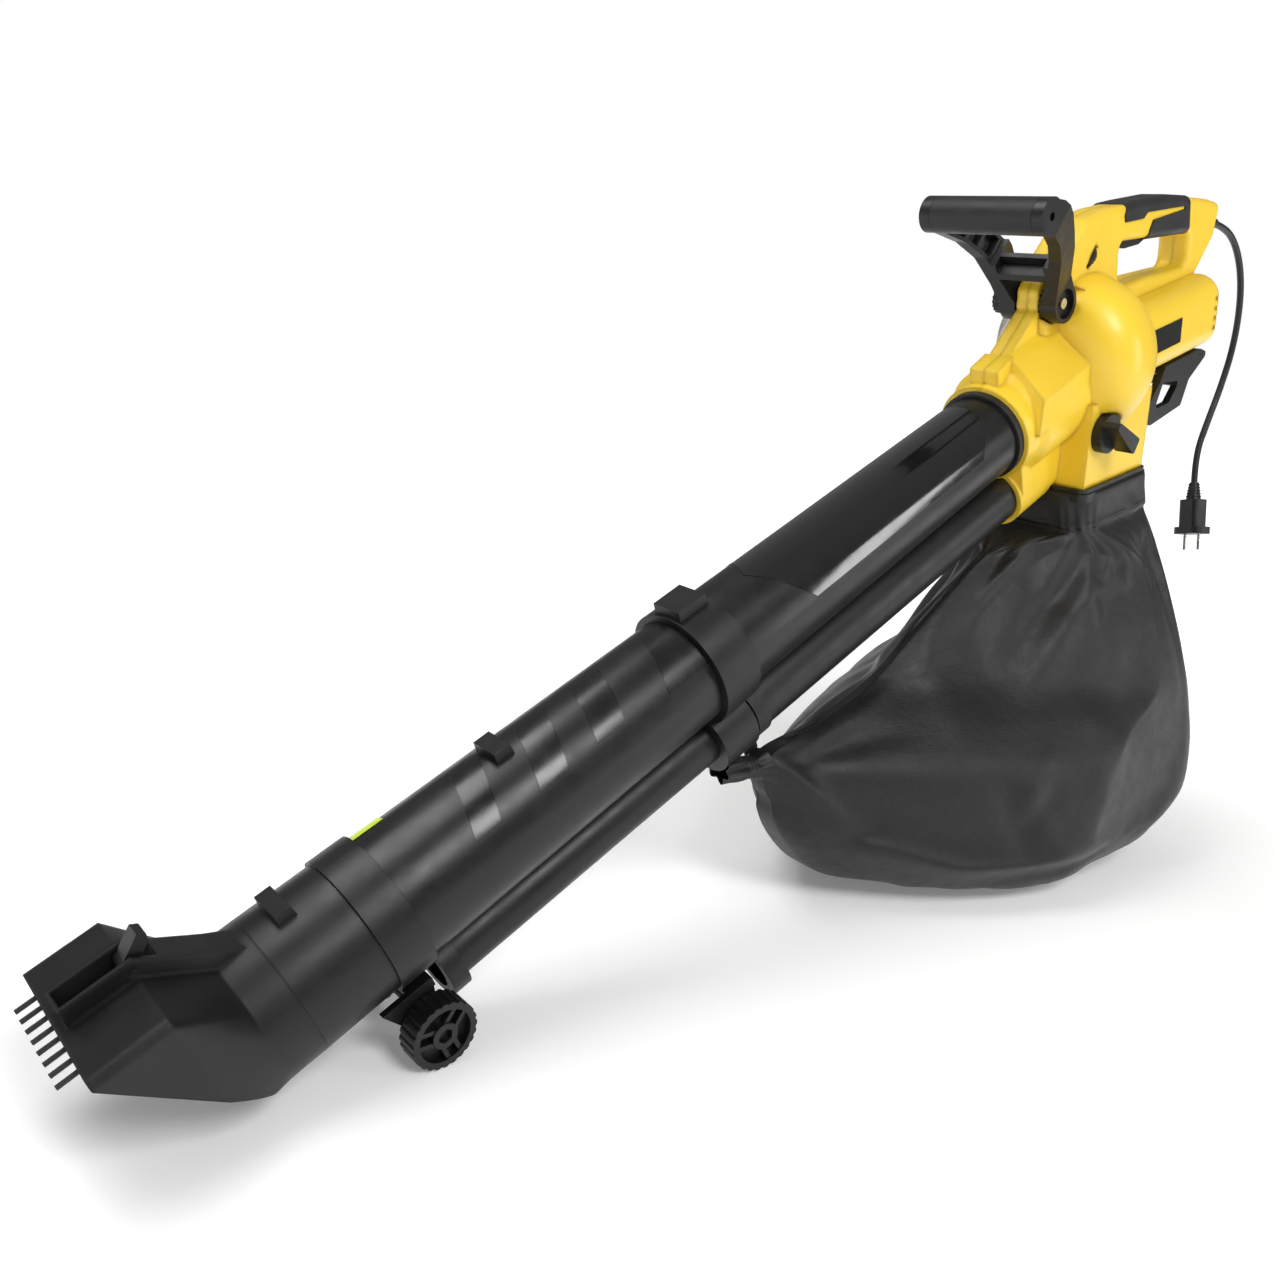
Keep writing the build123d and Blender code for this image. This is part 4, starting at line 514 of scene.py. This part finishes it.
def settle(points, faces, held):
    """Let the cloth, cut a little too large, buckle under slight pressure and its own weight."""
    mesh = bpy.data.meshes.new("settling")
    mesh.from_pydata([tuple(p) for p in points], [], faces)
    loose = link("settling", mesh)
    scene = bpy.context.scene
    pins = loose.vertex_groups.new(name="held")
    for i, weight in enumerate(held):
        if weight > 0:
            pins.add([i], float(weight), "REPLACE")
    cloth = loose.modifiers.new("cloth", "CLOTH")
    cloth.settings.quality = 6
    cloth.settings.mass = 0.12
    cloth.settings.tension_stiffness = 18
    cloth.settings.compression_stiffness = 18
    cloth.settings.shear_stiffness = 9
    cloth.settings.bending_stiffness = 1.2
    cloth.settings.shrink_min = -0.035
    cloth.settings.use_pressure = True
    cloth.settings.uniform_pressure_force = 0.25
    cloth.settings.vertex_group_mass = "held"
    cloth.settings.effector_weights.gravity = 0.25
    cloth.collision_settings.use_collision = False
    cloth.point_cache.frame_start = 1
    cloth.point_cache.frame_end = CLOTH_FRAMES
    for number in range(1, CLOTH_FRAMES + 1):
        scene.frame_set(number)
    settled = loose.evaluated_get(bpy.context.evaluated_depsgraph_get()).data
    moved = np.empty(3 * len(points))
    settled.vertices.foreach_get("co", moved)
    scene.frame_set(1)
    bpy.data.objects.remove(loose)
    bpy.data.meshes.remove(mesh)
    start = np.array(points)
    shift = moved.reshape(-1, 3) - start
    size = np.linalg.norm(shift, axis=1, keepdims=True)
    return start + shift * np.minimum(1, CLOTH_REACH / np.maximum(size, 1e-9))


def outward(points, rows, cols):
    """Outward normals of a grid of rings."""
    grid = points.reshape(rows, cols, 3)
    along = np.roll(grid, -1, 1) - np.roll(grid, 1, 1)
    down = np.gradient(grid, axis=0)
    normal = np.cross(down, along)
    normal /= np.linalg.norm(normal, axis=2, keepdims=True) + 1e-12
    middle = grid.mean(1, keepdims=True)
    facing = np.sum((grid - middle) * normal, axis=2, keepdims=True)
    return (normal * np.sign(facing.mean())).reshape(-1, 3)


# Rings of the neck band, as drops below the outlet's edge and how far they stand out, then neck and body
band = [(5, 0.2), (6, 1.2), (10, 1.5), (15, 1.7), (20, 2.0)]
band += [(25, 2.4), (30, 2.9), (35, 3.5), (38, 3.9), (39, 2.7)]
rings = [mouth_ring(drop, grow) for drop, grow in band]
neck, first = mouth_ring(NECK_DROP, NECK_GROW), level_ring(BODY_TOP)
rings += [[p.lerp(q, i / NECK_RINGS) for p, q in zip(neck, first)] for i in range(NECK_RINGS)]
rings += [level_ring(z) for z in list(np.linspace(BODY_TOP, BODY_FOOT, BODY_RINGS)) + [8, 5, 2.5, 1]]
rows, cols = len(rings), len(rings[0])
points = np.array([tuple(p) for ring in rings for p in ring])

# Folds on both flanks, gathers under the band and waves in it
row = np.repeat(np.arange(rows), cols)
turn = np.tile(np.arange(cols), rows) / cols * 2 * math.pi
loose = np.clip((row - len(band)) / 4, 0, 1) * np.clip((rows - 3 - row) / 3, 0, 1)
side = np.clip(-points[:, 1] / 0.02, -1, 1)
folds = np.where(side < 0, fold_heights(points * (1, -1, 1)), fold_heights(points))
folds = folds * np.clip(np.abs(side) * 1.5, 0, 1)
gather = np.exp(-((row - len(band)) / 7.0) ** 2) * np.sin(31 * turn + 1.3 * np.sin(5 * turn)) * GATHER_HEIGHT
slack = np.clip((row - 2) / 4, 0, 1) * np.clip((len(band) + 2 - row) / 3, 0, 1)
waves = np.sin(9 * turn + 0.8) * np.sin(4 * turn + row / 3) + 0.5 * np.sin(23 * turn + row / 2)
rise = (folds + gather) * loose + slack * waves * WAVE_HEIGHT
points = points + outward(points, rows, cols) * rise[:, None]

# Floor of the bag, closed by shrinking rings and a fan
faces = grid_faces(rows, cols, wrap=True)
foot = points[-cols:]
centre = foot.mean(0)
for share in (0.75, 0.5, 0.25):
    base = len(points)
    points = np.vstack([points, centre + (foot - centre) * share])
    faces += [tuple(base - cols + k for k in face) for face in grid_faces(2, cols, wrap=True)]
points = np.vstack([points, centre])
last = len(points) - 1
faces += [(last - cols + c, last - cols + (c + 1) % cols, last) for c in range(cols)]

# The band, the floor and the tied tip are held while the rest settles
held = np.concatenate([1 - loose, np.ones(len(points) - rows * cols)])
held = np.maximum(held, np.clip(1.6 - np.linalg.norm(points - np.array(TIE), axis=1) / 0.02, 0, 1))
points = settle(points, faces, held)
points[:, 2] = np.maximum(points[:, 2], 0.0008)
bag = piece("collecting_bag", points, faces, NYLON)
smooth = bag.modifiers.new("smooth", "SUBSURF")
smooth.levels = smooth.render_levels = 1
thicken(bag, CLOTH_WALL)
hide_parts("bag")

# Gathered tail where the bag is tied to the blow tube, ribbed under its elastic:
# x, z, radius and depth of the pleats
TAIL_SIDES, PLEATS = 54, 7
TAIL = [(409, 133, 17, 0.05), (401, 134, 12, 0.1), (396, 135, 9.2, 0.12), (394, 135.3, 10.2, 0.05)]
TAIL += [(392, 135.6, 9.0, 0.05), (390, 135.9, 10.3, 0.05), (388, 136.3, 9.0, 0.05), (386, 136.7, 10.2, 0.05)]
TAIL += [(383, 137.3, 9.2, 0.12), (377, 138.5, 10.6, 0.2), (369, 140, 11.4, 0.26), (360, 141.5, 11.0, 0.3)]
TAIL += [(352, 143, 12.5, 0.3), (353, 143, 11.5, 0.3), (362, 141.5, 9.8, 0.3), (370, 140, 9.0, 0.2)]
points = []
for x, z, radius, pleat in TAIL:
    for i in range(TAIL_SIDES):
        a = 2 * math.pi * i / TAIL_SIDES
        r = radius * (1 + pleat * math.sin(PLEATS * a + x / 9) * (0.7 + 0.3 * math.sin(3 * a)))
        across, up = r * math.cos(a), r * math.sin(a)
        points.append(((x - 0.3 * up) / 1000 - SHIFT_X, across / 1000, (z + up) / 1000))
tail = piece("bag_tail", points, grid_faces(len(TAIL), TAIL_SIDES, wrap=True), NYLON)
tail.modifiers.new("smooth", "SUBSURF").levels = 1

# Stitch line along the hem of the neck band: spindles, as shares of their length and radii in millimetres
STITCH_PITCH, STITCH_LENGTH, STITCH_SIDES = 0.005, 0.0034, 6
STITCH = ((0.0, 0.12), (0.25, 0.4), (0.75, 0.4), (1.0, 0.12))
seam = np.array([tuple(p) for p in mouth_ring(33, 3.75)])
seam = np.vstack([seam, seam[:1]])
reach = np.concatenate([[0], np.cumsum(np.linalg.norm(np.diff(seam, axis=0), axis=1))])
down = np.array((at(0, 0, 0) - at(0, 0, 1)).normalized())
points, faces = [], []
for start in np.arange(0, reach[-1] - 0.004, STITCH_PITCH):
    spots = (start, start + STITCH_LENGTH)
    head, end = (np.array([np.interp(s, reach, seam[:, k]) for k in range(3)]) for s in spots)
    out = np.cross((end - head) / np.linalg.norm(end - head), down)
    base = len(points)
    for share, thick in STITCH:
        points += circle(head + (end - head) * share, out, down, thick / 1000, STITCH_SIDES)
    faces += [tuple(base + k for k in face) for face in grid_faces(len(STITCH), STITCH_SIDES, wrap=True)]
    far = base + (len(STITCH) - 1) * STITCH_SIDES
    faces.append(tuple(base + k for k in reversed(range(STITCH_SIDES))))
    faces.append(tuple(far + k for k in range(STITCH_SIDES)))
thread = piece("hem_stitches", points, faces, THREAD)

# Floor that fades to white by glowing more and more away from the middle (painted light), and soft studio
# light
FLOOR, FLOOR_DROP = 12, -0.0006
corners = [(-FLOOR, -FLOOR, 0), (FLOOR, -FLOOR, 0), (FLOOR, FLOOR, 0), (-FLOOR, FLOOR, 0)]
floor_mesh = bpy.data.meshes.new("floor")
floor_mesh.from_pydata(corners, [], [(0, 1, 2, 3)])
floor = link("floor", floor_mesh)
floor.location.z = FLOOR_DROP
glowing_paper = Mat("glowing_paper")
glowing_paper.put("Base Color", (0.94, 0.94, 0.94))
glowing_paper.put("Roughness", 0.95)
glowing_paper.put("Specular IOR Level", 0.1)
# The floor glows: painted light, weak under the object and full white far out.
glowing_paper.put("Emission Color", (1.0, 1.0, 1.0))
spread = glowing_paper.add("VectorMath", {0: glowing_paper.coords}, operation="LENGTH").outputs["Value"]
glowing_paper.put("Emission Strength", glowing_paper.ramp(spread, 0.16, 1.0, 0.5, 1.9))
floor_mesh.materials.append(glowing_paper.mat)


def softbox(name, place, target, size, power):
    data = bpy.data.lights.new(name, "AREA")
    data.shape = "RECTANGLE"
    data.size, data.size_y = size
    data.energy = power
    lamp = link(name, data)
    lamp.location = place
    lamp.rotation_mode = "QUATERNION"
    lamp.rotation_quaternion = (Vector(target) - Vector(place)).to_track_quat("-Z", "Y")


softbox("key", (-0.4, -1.75, 2.0), (0.1, 0, 0.3), (0.9, 0.9), 34)
softbox("top", (-0.8, 0.5, 1.9), (0.1, 0, 0.3), (1.3, 0.9), 22)
softbox("side", (1.5, -1.9, 0.85), (0.1, 0, 0.35), (0.4, 1.1), 10)

# White behind the object, and a softer grey room round it for light and reflections
world = bpy.data.worlds.new("world")
world.use_nodes = True
tree = world.node_tree
backdrop = tree.nodes["Background"]
backdrop.inputs["Color"].default_value = (1, 1, 1, 1)
room = tree.nodes.new("ShaderNodeBackground")
room.inputs["Color"].default_value = (1, 1, 1, 1)
direction = tree.nodes.new("ShaderNodeSeparateXYZ")
tree.links.new(tree.nodes.new("ShaderNodeTexCoord").outputs["Generated"], direction.inputs[0])
height = tree.nodes.new("ShaderNodeMapRange")
tree.links.new(direction.outputs["Z"], height.inputs["Value"])
for key, value in (("From Min", -0.2), ("From Max", 0.9), ("To Min", 0.14), ("To Max", 0.34)):
    height.inputs[key].default_value = value
tree.links.new(height.outputs["Result"], room.inputs["Strength"])
switch = tree.nodes.new("ShaderNodeMixShader")
tree.links.new(tree.nodes.new("ShaderNodeLightPath").outputs["Is Camera Ray"], switch.inputs["Fac"])
tree.links.new(room.outputs["Background"], switch.inputs[1])
tree.links.new(backdrop.outputs["Background"], switch.inputs[2])
tree.links.new(switch.outputs["Shader"], tree.nodes["World Output"].inputs["Surface"])
bpy.context.scene.world = world
bpy.context.scene.view_settings.view_transform = "Standard"
